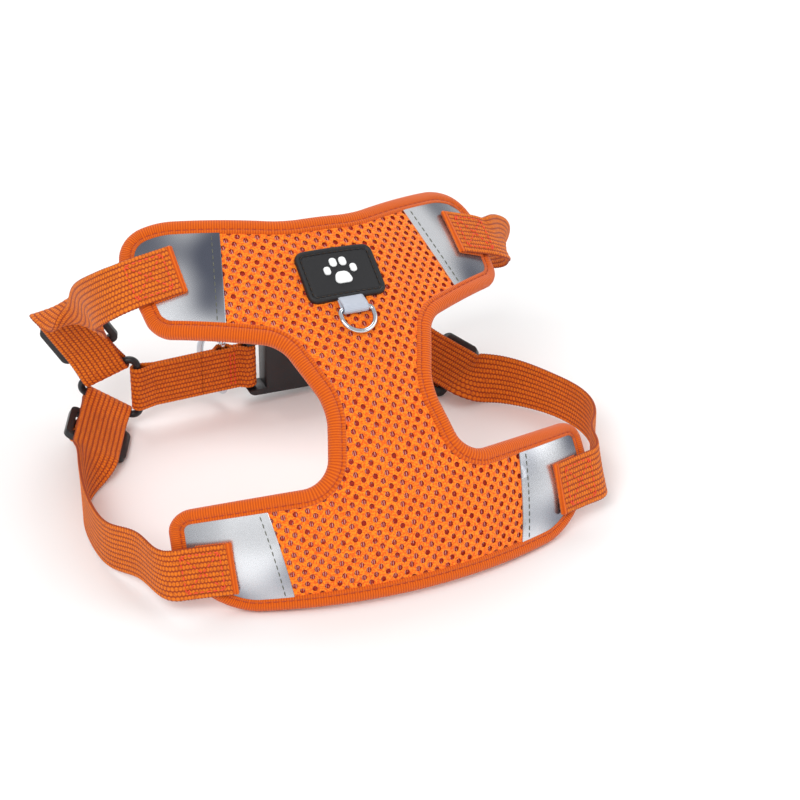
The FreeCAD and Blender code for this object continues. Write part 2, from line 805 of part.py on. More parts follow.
def make_buckle():
    """A side-release buckle: a hollow socket, a plug with a guide, and two springy prongs."""
    half = dim("buckle_wide") / 2
    long = dim("socket_long")
    thick = dim("buckle_thick")
    slot = WIDTH / 2 + 0.7
    where = buckle_placement()
    socket = new_body("buckle_socket")
    outer = rounded([
        (0, -half + 1.5, 3.5), (long, -half, 2.5), (long, half, 2.5), (0, half - 1.5, 3.5)])
    pad(socket, sketch_on(socket, "XY_Plane", "socket_outline", [outer]), "Dims.buckle_thick")
    web = mid_sketch(socket, "socket_slot", [window(BAR, BAR + 5.0, slot)], thick)
    pocket(socket, web, "Dims.buckle_thick + 1")
    for height, name in ((thick, "front"), (0, "back")):
        relief = mid_sketch(socket, f"socket_relief_{name}", [window(-1, BAR + 5.0, slot)], height)
        pocket(socket, relief, RELIEF, height == 0)
    cavity = mid_sketch(socket, "socket_cavity", [window(11.0, long + 1, half - 2.2)], thick - 2.0)
    pocket(socket, cavity, "Dims.buckle_thick - 4")
    sides = mid_sketch(socket, "socket_windows", [window(15.0, 25.0, half + 1)], thick - 2.0)
    pocket(socket, sides, "Dims.buckle_thick - 4")
    place(socket, where)

    base = long + 0.4
    end = base + dim("plug_long")
    plug = new_body("buckle_plug")
    body_line = rounded([
        (base, -half, 1.5), (end, -half + 1.5, 3.5), (end, half - 1.5, 3.5), (base, half, 1.5)])
    pad(plug, sketch_on(plug, "XY_Plane", "plug_outline", [body_line]), "Dims.buckle_thick")
    web = mid_sketch(plug, "plug_slot", [window(end - BAR - 5.0, end - BAR, slot)], thick)
    pocket(plug, web, "Dims.buckle_thick + 1")
    for height, name in ((thick, "front"), (0, "back")):
        span = window(end - BAR - 5.0, end + 1, slot)
        relief = mid_sketch(plug, f"plug_relief_{name}", [span], height)
        pocket(plug, relief, RELIEF, height == 0)
    guide = mid_sketch(plug, "plug_guide", [window(14.0, base + 0.5, 2.2)], 2.4)
    pad(plug, guide, "Dims.buckle_thick - 4.8")
    notches = []
    for sign in (-1, 1):
        near, far = sorted((sign * 3.4, sign * 9.6))
        notches.append(Part.makePolygon([
            Vector(base - 1, near, 0), Vector(base + 4.2, near, 0), Vector(base + 4.2, far, 0),
            Vector(base - 1, far, 0), Vector(base - 1, near, 0)]))
    pocket(plug, mid_sketch(plug, "plug_notches", notches, thick - 1.8), "Dims.buckle_thick - 3.6")
    place(plug, where)

    for name, sign in (("lower", -1), ("upper", 1)):
        prong = new_body(f"buckle_prong_{name}")
        arm = [(base + 3.8, 4.0), (base + 3.8, 7.6), (26.0, 10.8), (25.0, 12.0), (16.5, 11.2),
               (15.5, 8.6), (24.0, 7.4), (base - 2.0, 4.6)]
        points = [Vector(x, sign * y, 0) for x, y in arm]
        side = Part.makePolygon(points + points[:1])
        sketch = mid_sketch(prong, f"prong_{name}_side", [side], 2.4)
        pad(prong, sketch, "Dims.buckle_thick - 4.8")
        place(prong, where)


def make_back():
    make_triangle_ring("triangle_ring_left", LEFT_RING.bar, LEFT_RING.apex_axis)
    make_triangle_ring("triangle_ring_right", RIGHT_RING.bar, RIGHT_RING.apex_axis)
    start = dim("buckle_start")
    end = start + dim("socket_long") + 0.4 + dim("plug_long")
    back_strap("back_strap_left", dim("left_ring_side"), start + BAR / 2, True)
    back_strap("back_strap_right", dim("right_ring_side"), end - BAR / 2, False)
    ring_x = start + BAR / 2 - RING_FROM_BAR
    path = d_path(dim("back_ring_wide"), dim("back_ring_tall"))
    bulge = dim("back_ring_wire") / 2 + BAR_CLEAR
    pivot = Vector(ring_x, dim("back_depth") + bulge, dim("back_height"))
    wire_ring("back_ring", path, "back_ring_wire", frame_at(pivot, Vector(0, 0, 1), Vector(0.3, -1, 0)))


make_padding()
make_binding()
make_patches()
make_label()
make_front_ring()
make_straps()
make_back()
make_buckle()
doc.recompute()

for item in doc.Objects:
    if "Invalid" in item.State or "Error" in item.State:
        raise RuntimeError(f"{item.Name} did not build: {item.State}")
for node in nodes:
    if node.Shape.isNull() or not node.Shape.isValid() or node.Shape.Volume < 0.5:
        raise RuntimeError(f"{node.Label} has no valid solid")

os.makedirs("parts", exist_ok=True)
for node in nodes:
    node.Shape.exportStep(f"parts/{node.Label}.step")
    print(f"{node.Label}: {node.Shape.Volume:.0f} mm3")
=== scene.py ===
# %% [markdown]
# # A no pull dog harness, made in cells
# The harness is a padded chest panel in the shape of an H, edged with tape, with four
# webbing straps that run back through sliders to two plastic triangles, and a short back
# strap that a side-release buckle closes. The hard parts come ready from the CAD frame.
# This script makes everything that is sewn, woven or moulded soft, and gives every part
# its finish.

import math

import bmesh
import bpy
import numpy as np
from mathutils import Matrix, Vector


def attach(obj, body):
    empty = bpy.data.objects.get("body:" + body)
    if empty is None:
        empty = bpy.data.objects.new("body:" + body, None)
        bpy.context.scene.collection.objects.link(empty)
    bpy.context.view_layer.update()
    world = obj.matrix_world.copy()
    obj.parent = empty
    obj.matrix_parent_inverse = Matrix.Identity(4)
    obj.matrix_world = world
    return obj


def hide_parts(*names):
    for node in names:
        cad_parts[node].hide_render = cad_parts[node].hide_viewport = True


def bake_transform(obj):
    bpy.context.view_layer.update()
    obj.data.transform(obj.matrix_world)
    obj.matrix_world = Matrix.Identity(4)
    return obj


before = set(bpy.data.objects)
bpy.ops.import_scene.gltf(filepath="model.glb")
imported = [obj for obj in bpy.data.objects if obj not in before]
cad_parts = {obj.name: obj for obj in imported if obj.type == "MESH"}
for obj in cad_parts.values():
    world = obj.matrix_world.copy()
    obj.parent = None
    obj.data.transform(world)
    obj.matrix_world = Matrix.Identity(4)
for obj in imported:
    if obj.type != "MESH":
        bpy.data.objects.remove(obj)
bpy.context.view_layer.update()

# %% [markdown]
# ## The panel's curve
# The panel is cut flat and then wraps round the dog's chest, so everything on it is made
# flat, in millimetres, and bent afterwards. One function says where a flat point ends up:
# `across` and `up` are lengths along the cloth, and `height` is how far above its middle.
# An armature or a lattice could bend it too, but the CAD frame uses this same formula, and
# sharing it makes the soft pieces meet the hard ones exactly.

# %% Bend a flat point onto the chest
MM = 0.001
ORIGIN = Vector((2.2, 82.8, 0.0))
LEAN = math.radians(5.76)
PROFILE_RADIUS, PROFILE_EASE = 81.6, 0.03878 / 1000
CHEST_RADIUS = 154.0
TWIST_START, TWIST_RATE = -1.0, 0.054
LIFT = 1.7

# Five-point Gauss rule: where to sample a length, and the share each sample counts for.
GAUSS_RULE = ((0.0469101, 0.1184634), (0.2307653, 0.2393143), (0.5, 0.2844444),
              (0.7692347, 0.2393143), (0.9530899, 0.1184634))


def profile_slope(up):
    """The lean of the panel's middle line: it rolls back quickly at first, then less."""
    return LEAN + up / PROFILE_RADIUS - PROFILE_EASE * up * up


def panel_point(across, up, height=0.0):
    """A flat point of the panel, in mm, as a point of the frame, in metres."""
    slope = profile_slope(up)
    spine_y = spine_z = 0.0
    for part, share in GAUSS_RULE:
        spine_y += up * share * math.sin(profile_slope(up * part))
        spine_z += up * share * math.cos(profile_slope(up * part))
    spine_z += LIFT
    turn = across / CHEST_RADIUS
    side = (CHEST_RADIUS + height) * math.sin(turn)
    depth = CHEST_RADIUS - (CHEST_RADIUS + height) * math.cos(turn)
    twist = math.radians(TWIST_START + TWIST_RATE * up)
    x = side * math.cos(twist) - depth * math.sin(twist)
    inward = depth * math.cos(twist) + side * math.sin(twist)
    point = Vector((x, spine_y + inward * math.cos(slope), spine_z - inward * math.sin(slope)))
    return (point - ORIGIN) * MM


def axes_of(place, across, up, height=0.0):
    """The across, up and outward directions where `place` puts a flat point."""
    step = 0.5
    along = place(across + step, up, height) - place(across - step, up, height)
    rise = place(across, up + step, height) - place(across, up - step, height)
    outward = along.cross(rise).normalized()
    along.normalize()
    return along, outward.cross(along), outward


print("middle of the panel, in metres:", tuple(round(c, 3) for c in panel_point(0, 82)))

# %% [markdown]
# ## Shader maths in plain Python
# A material is a small program made of nodes. Joining them by hand takes many lines, so
# this class wraps one socket and lets `+`, `*` and friends add the Math nodes. Every other
# node comes from one method that takes its type, its settings and its inputs.

# %% Wrap a socket and a material
class Signal:
    def __init__(self, finish, socket):
        self.finish = finish
        self.socket = socket

    def math(self, operation, *others):
        return self.finish.node("ShaderNodeMath", {"operation": operation}, *others)

    def __add__(self, other):
        return self.math("ADD", self, other)

    def __sub__(self, other):
        return self.math("SUBTRACT", self, other)

    def __rsub__(self, other):
        return self.math("SUBTRACT", other, self)

    def __mul__(self, other):
        return self.math("MULTIPLY", self, other)

    def __truediv__(self, other):
        return self.math("DIVIDE", self, other)

    __radd__ = __add__
    __rmul__ = __mul__

    def cosine(self):
        return self.math("COSINE", self)

    def size(self):
        return self.math("ABSOLUTE", self)

    def whole(self):
        return self.math("FLOOR", self)

    def below(self, edge, soft=0.1):
        """1 where the value is under `edge`, fading to 0 over `soft`."""
        return self.finish.node(
            "ShaderNodeMapRange", {"interpolation_type": "SMOOTHSTEP"},
            self, edge - soft / 2, edge + soft / 2, 1.0, 0.0)


class Finish:
    def __init__(self, name):
        self.material = bpy.data.materials.new(name)
        self.material.use_nodes = True
        self.tree = self.material.node_tree
        self.surface = self.tree.nodes["Principled BSDF"]

    def node(self, kind, settings=None, *inputs, output=0, **named):
        """Add a node, set it up, feed its sockets and give back one of its outputs."""
        made = self.tree.nodes.new(kind)
        for key, value in (settings or {}).items():
            setattr(made, key, value)
        for place, value in list(enumerate(inputs)) + list(named.items()):
            key = place.replace("_", " ") if isinstance(place, str) else place
            self.feed(made.inputs[key], value)
        return Signal(self, made.outputs[output])

    def feed(self, socket, value):
        if isinstance(value, Signal):
            self.tree.links.new(value.socket, socket)
        else:
            socket.default_value = value

    def place(self):
        return self.node("ShaderNodeTexCoord", output="Object")

    def flat_place(self):
        """The piece's own flat lengths in mm, from its UV map."""
        spot = self.node("ShaderNodeTexCoord", output="UV")
        split = self.node("ShaderNodeSeparateXYZ", None, spot)
        return split, Signal(self, split.socket.node.outputs["Y"])

    def noise(self, scale, detail=2.0, vector=None):
        return self.node("ShaderNodeTexNoise", None, Vector=vector or self.place(),
                         Scale=scale, Detail=detail)

    def blend(self, share, first, second):
        mix = self.node("ShaderNodeMix", {"data_type": "RGBA"}, output=2)
        node = mix.socket.node
        self.feed(node.inputs[0], share)
        self.feed(node.inputs[6], first)
        self.feed(node.inputs[7], second)
        return mix

    def relief(self, height, depth):
        bump = self.node("ShaderNodeBump", None, Height=height, Distance=depth)
        self.feed(self.surface.inputs["Normal"], bump)

    def set(self, **values):
        for name, value in values.items():
            self.feed(self.surface.inputs[name.replace("_", " ")], value)
        return self


def tone(red, green, blue):
    """A colour picked on a screen, as the linear values that shaders use."""
    def linear(c):
        c = c / 255
        return c / 12.92 if c <= 0.04045 else ((c + 0.055) / 1.055) ** 2.4
    return (linear(red), linear(green), linear(blue), 1.0)


def flecked(name, scale, first, second, rough, spread=0.0, depth=0.00005, detail=2.0,
            metallic=0.0):
    """A plain finish: one fine noise drives its colour, its gloss and its relief."""
    finish = Finish(name)
    fleck = finish.noise(scale, detail)
    finish.set(Base_Color=finish.blend(fleck, first, second), Metallic=metallic,
               Roughness=rough + fleck * spread)
    finish.relief(fleck, depth)
    return finish


print("dark thread, linear:", [round(c, 3) for c in tone(150, 40, 10)[:3]])

# %% [markdown]
# ## Air mesh and what shows through it
# The face is an open knit with round holes in a slanting square lattice. The holes are real
# openings, so the knit's finish needs only the small yarns: a fine fleck and a soft relief.
# The padding under it is dyed a deep red, and pale spacer yarns stand in each hole. Those
# are too fine to model one by one, so they are drawn where the same lattice has its holes.

# %% The knit and the padding
HOLE_A = Vector((2.55, -2.34))
HOLE_B = Vector((-2.01, -2.67))
LATTICE_MIDDLE = Vector((0.0, 82.0))

mesh_knit = Finish("orange_air_mesh")
fleck = mesh_knit.noise(1500.0, 3.0)
cloud = mesh_knit.noise(60.0)
yarn = mesh_knit.node("ShaderNodeTexVoronoi", None, Vector=mesh_knit.place(), Scale=1400.0)
knit_colour = mesh_knit.blend(fleck.below(0.5, 0.22), tone(255, 146, 26), tone(226, 88, 8))
knit_colour = mesh_knit.blend(cloud * 0.35, knit_colour, tone(240, 104, 10))
mesh_knit.set(Base_Color=knit_colour, Roughness=0.82 + fleck * 0.1, Specular_IOR_Level=0.25,
              Sheen_Weight=0.25, Sheen_Roughness=0.5)
mesh_knit.relief(yarn + fleck * 0.6, 0.00012)

padding_dye = Finish("red_padding")
u, v = padding_dye.flat_place()
across, up = u - LATTICE_MIDDLE.x, v - LATTICE_MIDDLE.y
area = HOLE_A.x * HOLE_B.y - HOLE_B.x * HOLE_A.y
steps_a = (across * HOLE_B.y - up * HOLE_B.x) / area
steps_b = (up * HOLE_A.x - across * HOLE_A.y) / area
near_a = steps_a - (steps_a + 0.5).whole()
near_b = steps_b - (steps_b + 0.5).whole()
side = near_a * HOLE_A.x + near_b * HOLE_B.x
strand = (side.size() - 0.42).size()
fade = padding_dye.noise(420.0)
pale = strand.below(0.16, 0.12) * (1 - fade.below(0.47, 0.12))
red = padding_dye.blend(fade, tone(150, 18, 6), tone(206, 52, 16))
padding_dye.set(Base_Color=padding_dye.blend(pale, red, tone(246, 178, 170)), Roughness=0.7)
padding_dye.relief(pale + fade * 0.4, 0.0002)

lining_knit = Finish("orange_lining")
loops = lining_knit.node("ShaderNodeTexVoronoi", None, Vector=lining_knit.place(), Scale=1100.0)
haze = lining_knit.noise(45.0)
lining_knit.set(
    Base_Color=lining_knit.blend(haze, tone(232, 98, 18), tone(244, 122, 34)),
    Roughness=0.85, Specular_IOR_Level=0.2, Sheen_Weight=0.3)
lining_knit.relief(loops, 0.0001)
print("holes are", round(HOLE_A.length, 2), "mm apart")

# %% [markdown]
# ## Tape, webbing, ribbon and thread
# These are woven narrow goods, and their patterns run along the strip. Each strip carries
# its flat lengths in its UV map, so the ribs turn with it round every corner.

# %% Narrow goods
RIB_WIDE, BEAD_LONG = 2.0, 1.3

tape_weave = Finish("ribbed_tape")
u, v = tape_weave.flat_place()
rib_height_and_groove_shade = (u * (2 * math.pi / 0.95)).cosine() * 0.5 + 0.5
soft = tape_weave.noise(900.0, 3.0)
worn = tape_weave.noise(50.0)
# Painted shade and painted highlight: the tape's colour is darker in the grooves between ribs and
# lighter on their crests, on the same wave as the relief.
tape_colour = tape_weave.blend(rib_height_and_groove_shade, tone(182, 66, 0), tone(228, 106, 2))
tape_colour = tape_weave.blend(worn * 0.5, tape_colour, tone(212, 88, 0))
tape_weave.set(Base_Color=tape_colour, Roughness=0.78 + soft * 0.12, Specular_IOR_Level=0.25,
               Sheen_Weight=0.2, Sheen_Roughness=0.5)
tape_weave.relief(rib_height_and_groove_shade + soft * 0.5, 0.00013)


def woven(name, light, dark):
    """Webbing: rows of beads, each row half a bead on from its neighbour, with painted shade
    between them and painted highlight on top.
    """
    cloth = Finish(name)
    u, v = cloth.flat_place()
    row = (v / RIB_WIDE).whole()
    across = ((v / RIB_WIDE - row - 0.5) * math.pi).cosine()
    along = ((u / BEAD_LONG + row * 0.5) * (2 * math.pi)).cosine() * 0.5 + 0.5
    bead = across * (along * 0.7 + 0.3)
    twist = ((u * 1.0 + v * 0.6) * (2 * math.pi / 0.42)).cosine() * 0.5 + 0.5
    fuzz = cloth.noise(1300.0, 3.0)
    # Painted shade and painted highlight: the darker tone fills the hollows between the beads and
    # the lighter one their tops.
    colour = cloth.blend(bead.below(0.3, 0.45), light, dark)
    colour = cloth.blend(fuzz.below(0.46, 0.2) * 0.45, colour, dark)
    cloth.set(Base_Color=colour, Roughness=0.62 + fuzz * 0.2, Specular_IOR_Level=0.35,
              Sheen_Weight=0.05)
    cloth.relief(bead + twist * 0.15 + fuzz * 0.25, 0.00018)
    return cloth


# The lighter tone is the webbing as it looks in light, the darker one as it looks in shade.
webbing_cloth = woven("orange_webbing", tone(230, 118, 4), tone(150, 52, 0))

ribbon_satin = Finish("grey_ribbon")
u, v = ribbon_satin.flat_place()
cord = (u * (2 * math.pi / 0.5)).cosine() * 0.5 + 0.5
ribbon_satin.set(
    Base_Color=ribbon_satin.blend(cord * 0.4, tone(186, 192, 204), tone(150, 158, 172)),
    Roughness=0.42, Sheen_Weight=0.2)
ribbon_satin.relief(cord, 0.00005)


THREAD_FLECK, THREAD_ROUGH = 2600.0, 0.5
coral_thread, rust_thread, steel_thread, label_thread = (
    flecked(name, THREAD_FLECK, dark, light, THREAD_ROUGH) for name, light, dark in (
        ("coral_thread", tone(250, 92, 44), tone(212, 48, 20)),
        ("rust_thread", tone(196, 70, 14), tone(128, 34, 6)),
        ("grey_thread", tone(120, 122, 108), tone(44, 46, 36)),
        ("dark_thread", tone(70, 48, 26), tone(10, 10, 12))))
print("thread, tape, ribbon and webbing are ready")

# %% [markdown]
# ## Film, moulded rubber, plastic and metal
# The reflective film is a thin bright foil that mirrors what stands near it; its colour also
# carries pale and dark clouds, which are painted reflections. The label is matt soft rubber.
# The sliders and the buckle are moulded with a fine spark grain, and the two D-rings are
# plated steel.

# %% Smooth goods
film = Finish("silver_film")
ripple = film.noise(26.0, 1.0)
# Painted reflections: this mask lays pale and dark clouds into the film's colour, as a mirror
# shows bright and dark surroundings.
painted_reflection_mask = ripple.below(0.5, 0.3)
grain = film.noise(2400.0)
film.set(Base_Color=film.blend(painted_reflection_mask, tone(236, 238, 242), tone(98, 102, 116)),
         Metallic=0.85, Roughness=0.2 + grain * 0.12)
film.relief(ripple + grain * 0.02, 0.0006)

label_rubber = flecked("black_rubber", 1900.0, tone(12, 12, 15), tone(26, 26, 30), 0.5, 0.2,
                       detail=3.0)
paw_rubber = flecked("white_rubber", 700.0, tone(226, 228, 228), tone(250, 250, 250), 0.5)

plastic = Finish("black_plastic")
spark = plastic.noise(1200.0, 4.0)
rub = plastic.noise(90.0)
plastic.set(Base_Color=plastic.blend(rub, tone(16, 16, 19), tone(36, 36, 40)),
            Roughness=0.3 + spark * 0.2)
plastic.relief(spark, 0.00006)

chrome = flecked("bright_chrome", 160.0, tone(196, 204, 214), tone(226, 230, 236), 0.06, 0.12,
                 depth=0.00003, metallic=1.0)
print(len(bpy.data.materials), "materials in the file")

# %% [markdown]
# ## From a bmesh to a piece
# Each piece ends the same way: turn the faces outwards, make an object, smooth it and tie
# it to the CAD body that it moves with. Doing that in one place keeps every piece at the
# origin with its shape in its mesh, as the CAD nodes are.

# %% Finish a piece
PANEL = "panel_and_straps"


def finish_piece(name, mesh, finish, stands_for=(), body=PANEL, outward=True):
    if outward:
        bmesh.ops.recalc_face_normals(mesh, faces=mesh.faces)
    data = bpy.data.meshes.new(name)
    mesh.to_mesh(data)
    mesh.free()
    piece = bpy.data.objects.new(name, data)
    bpy.context.scene.collection.objects.link(piece)
    data.materials.append(finish.material)
    data.shade_smooth()
    if body:
        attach(piece, body)
    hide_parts(*stands_for)
    print(f"{name}: {len(data.polygons)} faces")
    return piece


def cut_grid(mesh, pitch, box):
    """Cut flat faces into cells, so that they can bend."""
    low_x, high_x, low_y, high_y = box
    for axis, low, high in (((1, 0, 0), low_x, high_x), ((0, 1, 0), low_y, high_y)):
        for index in range(int((high - low) / pitch)):
            spot = Vector(axis) * (low + pitch * (index + 0.5))
            bmesh.ops.bisect_plane(
                mesh, geom=mesh.verts[:] + mesh.edges[:] + mesh.faces[:],
                plane_co=spot, plane_no=axis, dist=1e-5)


def lay_flat_lengths(mesh):
    """Write each corner's flat place into the UV map."""
    layer = mesh.loops.layers.uv.verify()
    for face in mesh.faces:
        for loop in face.loops:
            loop[layer].uv = loop.vert.co.xy


def bend(mesh, place=panel_point):
    for vert in mesh.verts:
        vert.co = place(*vert.co)


# %% [markdown]
# ## The outline
# The cutter's pattern is a polygon with rounded corners. A vertex bevel rounds each corner
# of one flat face, and the long edges are split so that they follow the curve later. Every
# layer of the panel is this face, inset and raised in steps.

# %% Cut the pattern
HALF_OUTLINE = [
    (70.0, 0.0, 24.0), (88.5, 24.0, 20.0), (87.5, 50.0, 9.0), (27.5, 46.5, 11.0),
    (21.0, 74.0, 22.0), (31.0, 101.5, 13.0), (74.0, 119.5, 11.0), (78.5, 163.0, 13.0),
    (58.0, 163.5, 30.0), (14.0, 150.5, 40.0)]
PANEL_BOX = (-96.0, 96.0, -6.0, 174.0)


def flat_shape(corners, height, spacing=2.5, segments=10):
    """One flat face with rounded corners: each corner is x, y and its radius."""
    mesh = bmesh.new()
    verts = [mesh.verts.new((x, y, height)) for x, y, _ in corners]
    face = mesh.faces.new(verts)
    for index, vert in enumerate(verts):
        here = Vector(corners[index][:2])
        back = Vector(corners[index - 1][:2]) - here
        ahead = Vector(corners[(index + 1) % len(corners)][:2]) - here
        reach = corners[index][2] / math.tan(back.angle(ahead) / 2)
        bmesh.ops.bevel(mesh, geom=[vert], offset=reach, offset_type="OFFSET", profile=0.5,
                        affect="VERTICES", segments=segments, material=-1, clamp_overlap=False)
    bmesh.ops.remove_doubles(mesh, verts=mesh.verts, dist=0.02)
    for edge in list(mesh.edges):
        parts = round(edge.calc_length() / spacing)
        for part in range(parts, 1, -1):
            other, _ = bmesh.utils.edge_split(edge, edge.verts[0], 1 / part)
            edge = max(edge, other, key=lambda piece: piece.calc_length())
    mesh.faces.ensure_lookup_table()
    face = mesh.faces[0]
    face.normal_update()
    if face.normal.z < 0:
        face.normal_flip()
    return mesh, face


def panel_shape(height):
    left = [(-x, y, radius) for x, y, radius in reversed(HALF_OUTLINE)]
    return flat_shape(HALF_OUTLINE + left, height)


def step_in(mesh, face, steps):
    """Inset a face again and again: each step is how far in from the rim, and its height."""
    done = 0.0
    for distance, height in steps:
        bmesh.ops.inset_region(mesh, faces=[face], thickness=distance - done,
                               use_even_offset=True, use_boundary=True)
        done = distance
        for vert in face.verts:
            vert.co.z = height
    return face


def keep_bottom(mesh, face):
    """Double a face, so that the copy closes the bottom of what is raised from it."""
    bmesh.ops.duplicate(mesh, geom=[face, *face.edges, *face.verts])


def inner_face(distance, height):
    """The pattern moved inwards, as one flat face alone in its mesh."""
    mesh, face = panel_shape(height)
    face = step_in(mesh, face, [(distance, height)])
    bmesh.ops.delete(mesh, geom=[f for f in mesh.faces if f is not face], context="FACES")
    return mesh, face


def build_up(mesh, face, steps, pitch=0.0, box=PANEL_BOX, place=panel_point):
    """Raise a flat face in steps over its own copy, cut it into cells and bend it."""
    keep_bottom(mesh, face)
    step_in(mesh, face, steps)
    bmesh.ops.remove_doubles(mesh, verts=mesh.verts, dist=1e-5)
    if pitch:
        cut_grid(mesh, pitch, box)
    lay_flat_lengths(mesh)
    bend(mesh, place)


mesh, face = panel_shape(0.0)
OUTLINE = np.array([vert.co.xy for vert in face.verts])
mesh.free()
NEXT = np.roll(OUTLINE, -1, axis=0)
LENGTHS = np.linalg.norm(NEXT - OUTLINE, axis=1)
STARTS = np.concatenate([[0.0], np.cumsum(LENGTHS)[:-1]])
PERIMETER = float(LENGTHS.sum())


def along_outline(x, y):
    """How far round the outline a flat point is, how far in from it, and on which side."""
    spot = np.array([x, y])
    side = NEXT - OUTLINE
    share = np.clip(((spot - OUTLINE) * side).sum(1) / LENGTHS ** 2, 0, 1)
    gap = spot - (OUTLINE + side * share[:, None])
    far = np.linalg.norm(gap, axis=1)
    best = int(far.argmin())
    inside = side[best][0] * gap[best][1] - side[best][1] * gap[best][0] > 0
    return STARTS[best] + share[best] * LENGTHS[best], far[best] if inside else -far[best]


print("the edge is", round(PERIMETER), "mm round, in", len(OUTLINE), "steps")

# %% [markdown]
# ## Padding and lining
# A sheet of foam gives the panel its body, and a smooth knit covers its back. The foam is
# the outline's face with a rounded rim, closed at the back. The lining is the same shape,
# a little below it, with the slow ripple that a bonded knit takes when it is bent.

# %% The foam pad
INSIDE = 1.0
FOAM_HALF = 1.2

mesh, face = inner_face(INSIDE, -FOAM_HALF)
build_up(mesh, face, [(0.1, 0.0), (0.5, 0.9), (1.4, FOAM_HALF)], pitch=6.0)
foam_pad = finish_piece("foam_pad", mesh, padding_dye, ["foam_core"])

# %% The lining
LINING_TOP, LINING_BACK = -1.28, -2.1


def rippled(across, up, height):
    wave = math.sin(across / 9.0 + up / 23.0) + math.sin(up / 11.0 - across / 31.0)
    return panel_point(across, up, height + 0.09 * wave * (height < LINING_TOP - 0.1))


mesh, face = inner_face(INSIDE, LINING_BACK)
build_up(mesh, face, [(0.3, LINING_TOP)], pitch=4.0, place=rippled)
finish_piece("back_lining", mesh, lining_knit, ["inner_lining"])

# %% [markdown]
# ## The open mesh
# An image could paint the holes, but then they would be flat. Here a grid is slanted to the
# knit's lattice, each crossing is bevelled open, and the new faces are deleted. Solidify
# gives the yarns a thickness, and one level of subdivision rounds every hole.

# %% Knit the face
MESH_TOP, MESH_THICK = 2.2, 0.55
HOLE_REACH = 1.42
MESH_INSET, MESH_LAP = 3.0, 3.0
TOP_PATCH_LINE = ((33.5, 170.0), (49.5, 105.0))
BOTTOM_PATCH_LINE = ((53.5, 60.0), (43.5, -8.0))


def past_patch(x, y):
    """How far a flat point is beyond the nearer patch line, towards the arm's end."""
    start, finish = map(Vector, TOP_PATCH_LINE if y > 82 else BOTTOM_PATCH_LINE)
    run = (finish - start).normalized()
    return run.cross(Vector((abs(x), y)) - start)


CELLS = 90
mesh = bmesh.new()
bmesh.ops.create_grid(mesh, x_segments=CELLS, y_segments=CELLS, size=CELLS / 2)
slant = Matrix(((HOLE_A.x, HOLE_B.x, 0), (HOLE_A.y, HOLE_B.y, 0), (0, 0, 1))).to_4x4()
bmesh.ops.transform(mesh, verts=mesh.verts, matrix=slant)
bmesh.ops.translate(mesh, verts=mesh.verts, vec=(*LATTICE_MIDDLE, MESH_TOP))
bmesh.ops.reverse_faces(mesh, faces=mesh.faces)
unwanted = []
for face in mesh.faces:
    x, y, _ = face.calc_center_median()
    if along_outline(x, y)[1] < MESH_INSET or past_patch(x, y) > MESH_LAP:
        unwanted.append(face)
bmesh.ops.delete(mesh, geom=unwanted, context="FACES")
crossings = [vert for vert in mesh.verts if not vert.is_boundary]
opened = bmesh.ops.bevel(mesh, geom=crossings, offset=HOLE_REACH, offset_type="OFFSET",
                         affect="VERTICES", segments=1, profile=0.5, material=-1)
bmesh.ops.delete(mesh, geom=opened["faces"], context="FACES")
print(len(crossings), "holes")
bend(mesh)
mesh_face = finish_piece("mesh_face", mesh, mesh_knit, ["mesh_face_panel"],
                         outward=False)
wall = mesh_face.modifiers.new("yarn", "SOLIDIFY")
wall.thickness, wall.offset = MESH_THICK * MM, -1.0
rounder = mesh_face.modifiers.new("round", "SUBSURF")
rounder.levels = rounder.render_levels = 1

# %% [markdown]
# ## The binding
# A ribbed tape folds over the raw edge of all the layers and is sewn through near its inner
# rim, which pulls a groove into it and leaves the outside puffed. Sweeping a profile along
# a curve would do this, but insetting the same outline keeps the tape exactly on the edge.
# The front and back halves meet at the rim and are bridged inside.

# %% Fold the tape over the edge
FRONT_TAPE = [(0.25, 1.5), (0.8, 2.5), (1.7, 3.15), (2.8, 3.4), (3.9, 3.25), (4.5, 2.85),
              (4.8, 2.5), (5.1, 2.8), (5.6, 2.98), (6.2, 2.85), (6.5, 2.2)]
BACK_TAPE = [(0.25, -1.3), (0.8, -2.2), (1.7, -2.75), (2.8, -2.9), (3.9, -2.8), (4.5, -2.6),
             (4.8, -2.35), (5.1, -2.55), (5.6, -2.65), (6.2, -2.55), (6.5, -2.1)]

mesh, face = panel_shape(0.1)
keep_bottom(mesh, face)
mesh.faces.ensure_lookup_table()
halves = list(mesh.faces)
loops = []
for half, steps in zip(halves, (FRONT_TAPE, BACK_TAPE)):
    inner = step_in(mesh, half, steps)
    loops += list(inner.edges)
bmesh.ops.delete(mesh, geom=halves, context="FACES_ONLY")
bmesh.ops.bridge_loops(mesh, edges=loops)
bmesh.ops.remove_doubles(mesh, verts=mesh.verts, dist=1e-5)
uv = mesh.loops.layers.uv.verify()
for face in mesh.faces:
    places = [along_outline(loop.vert.co.x, loop.vert.co.y) for loop in face.loops]
    turn = max(place[0] for place in places)
    for loop, (round_edge, inward) in zip(face.loops, places):
        if turn - round_edge > PERIMETER / 2:
            round_edge += PERIMETER
        loop[uv].uv = (round_edge, inward + loop.vert.co.z)
bend(mesh)
finish_piece("edge_tape", mesh, tape_weave, ["edge_binding"])

# %% [markdown]
# ## Reflective patches
# Each arm ends in a cap of silver film, cut straight where it meets the mesh. The outline's
# face is cut by a plane along that line and the rest thrown away, so the film's other edge
# runs under the tape exactly as the real one does. Its rim stays sharp in the shading,
# because a mirror shows every softened edge as a bright streak.

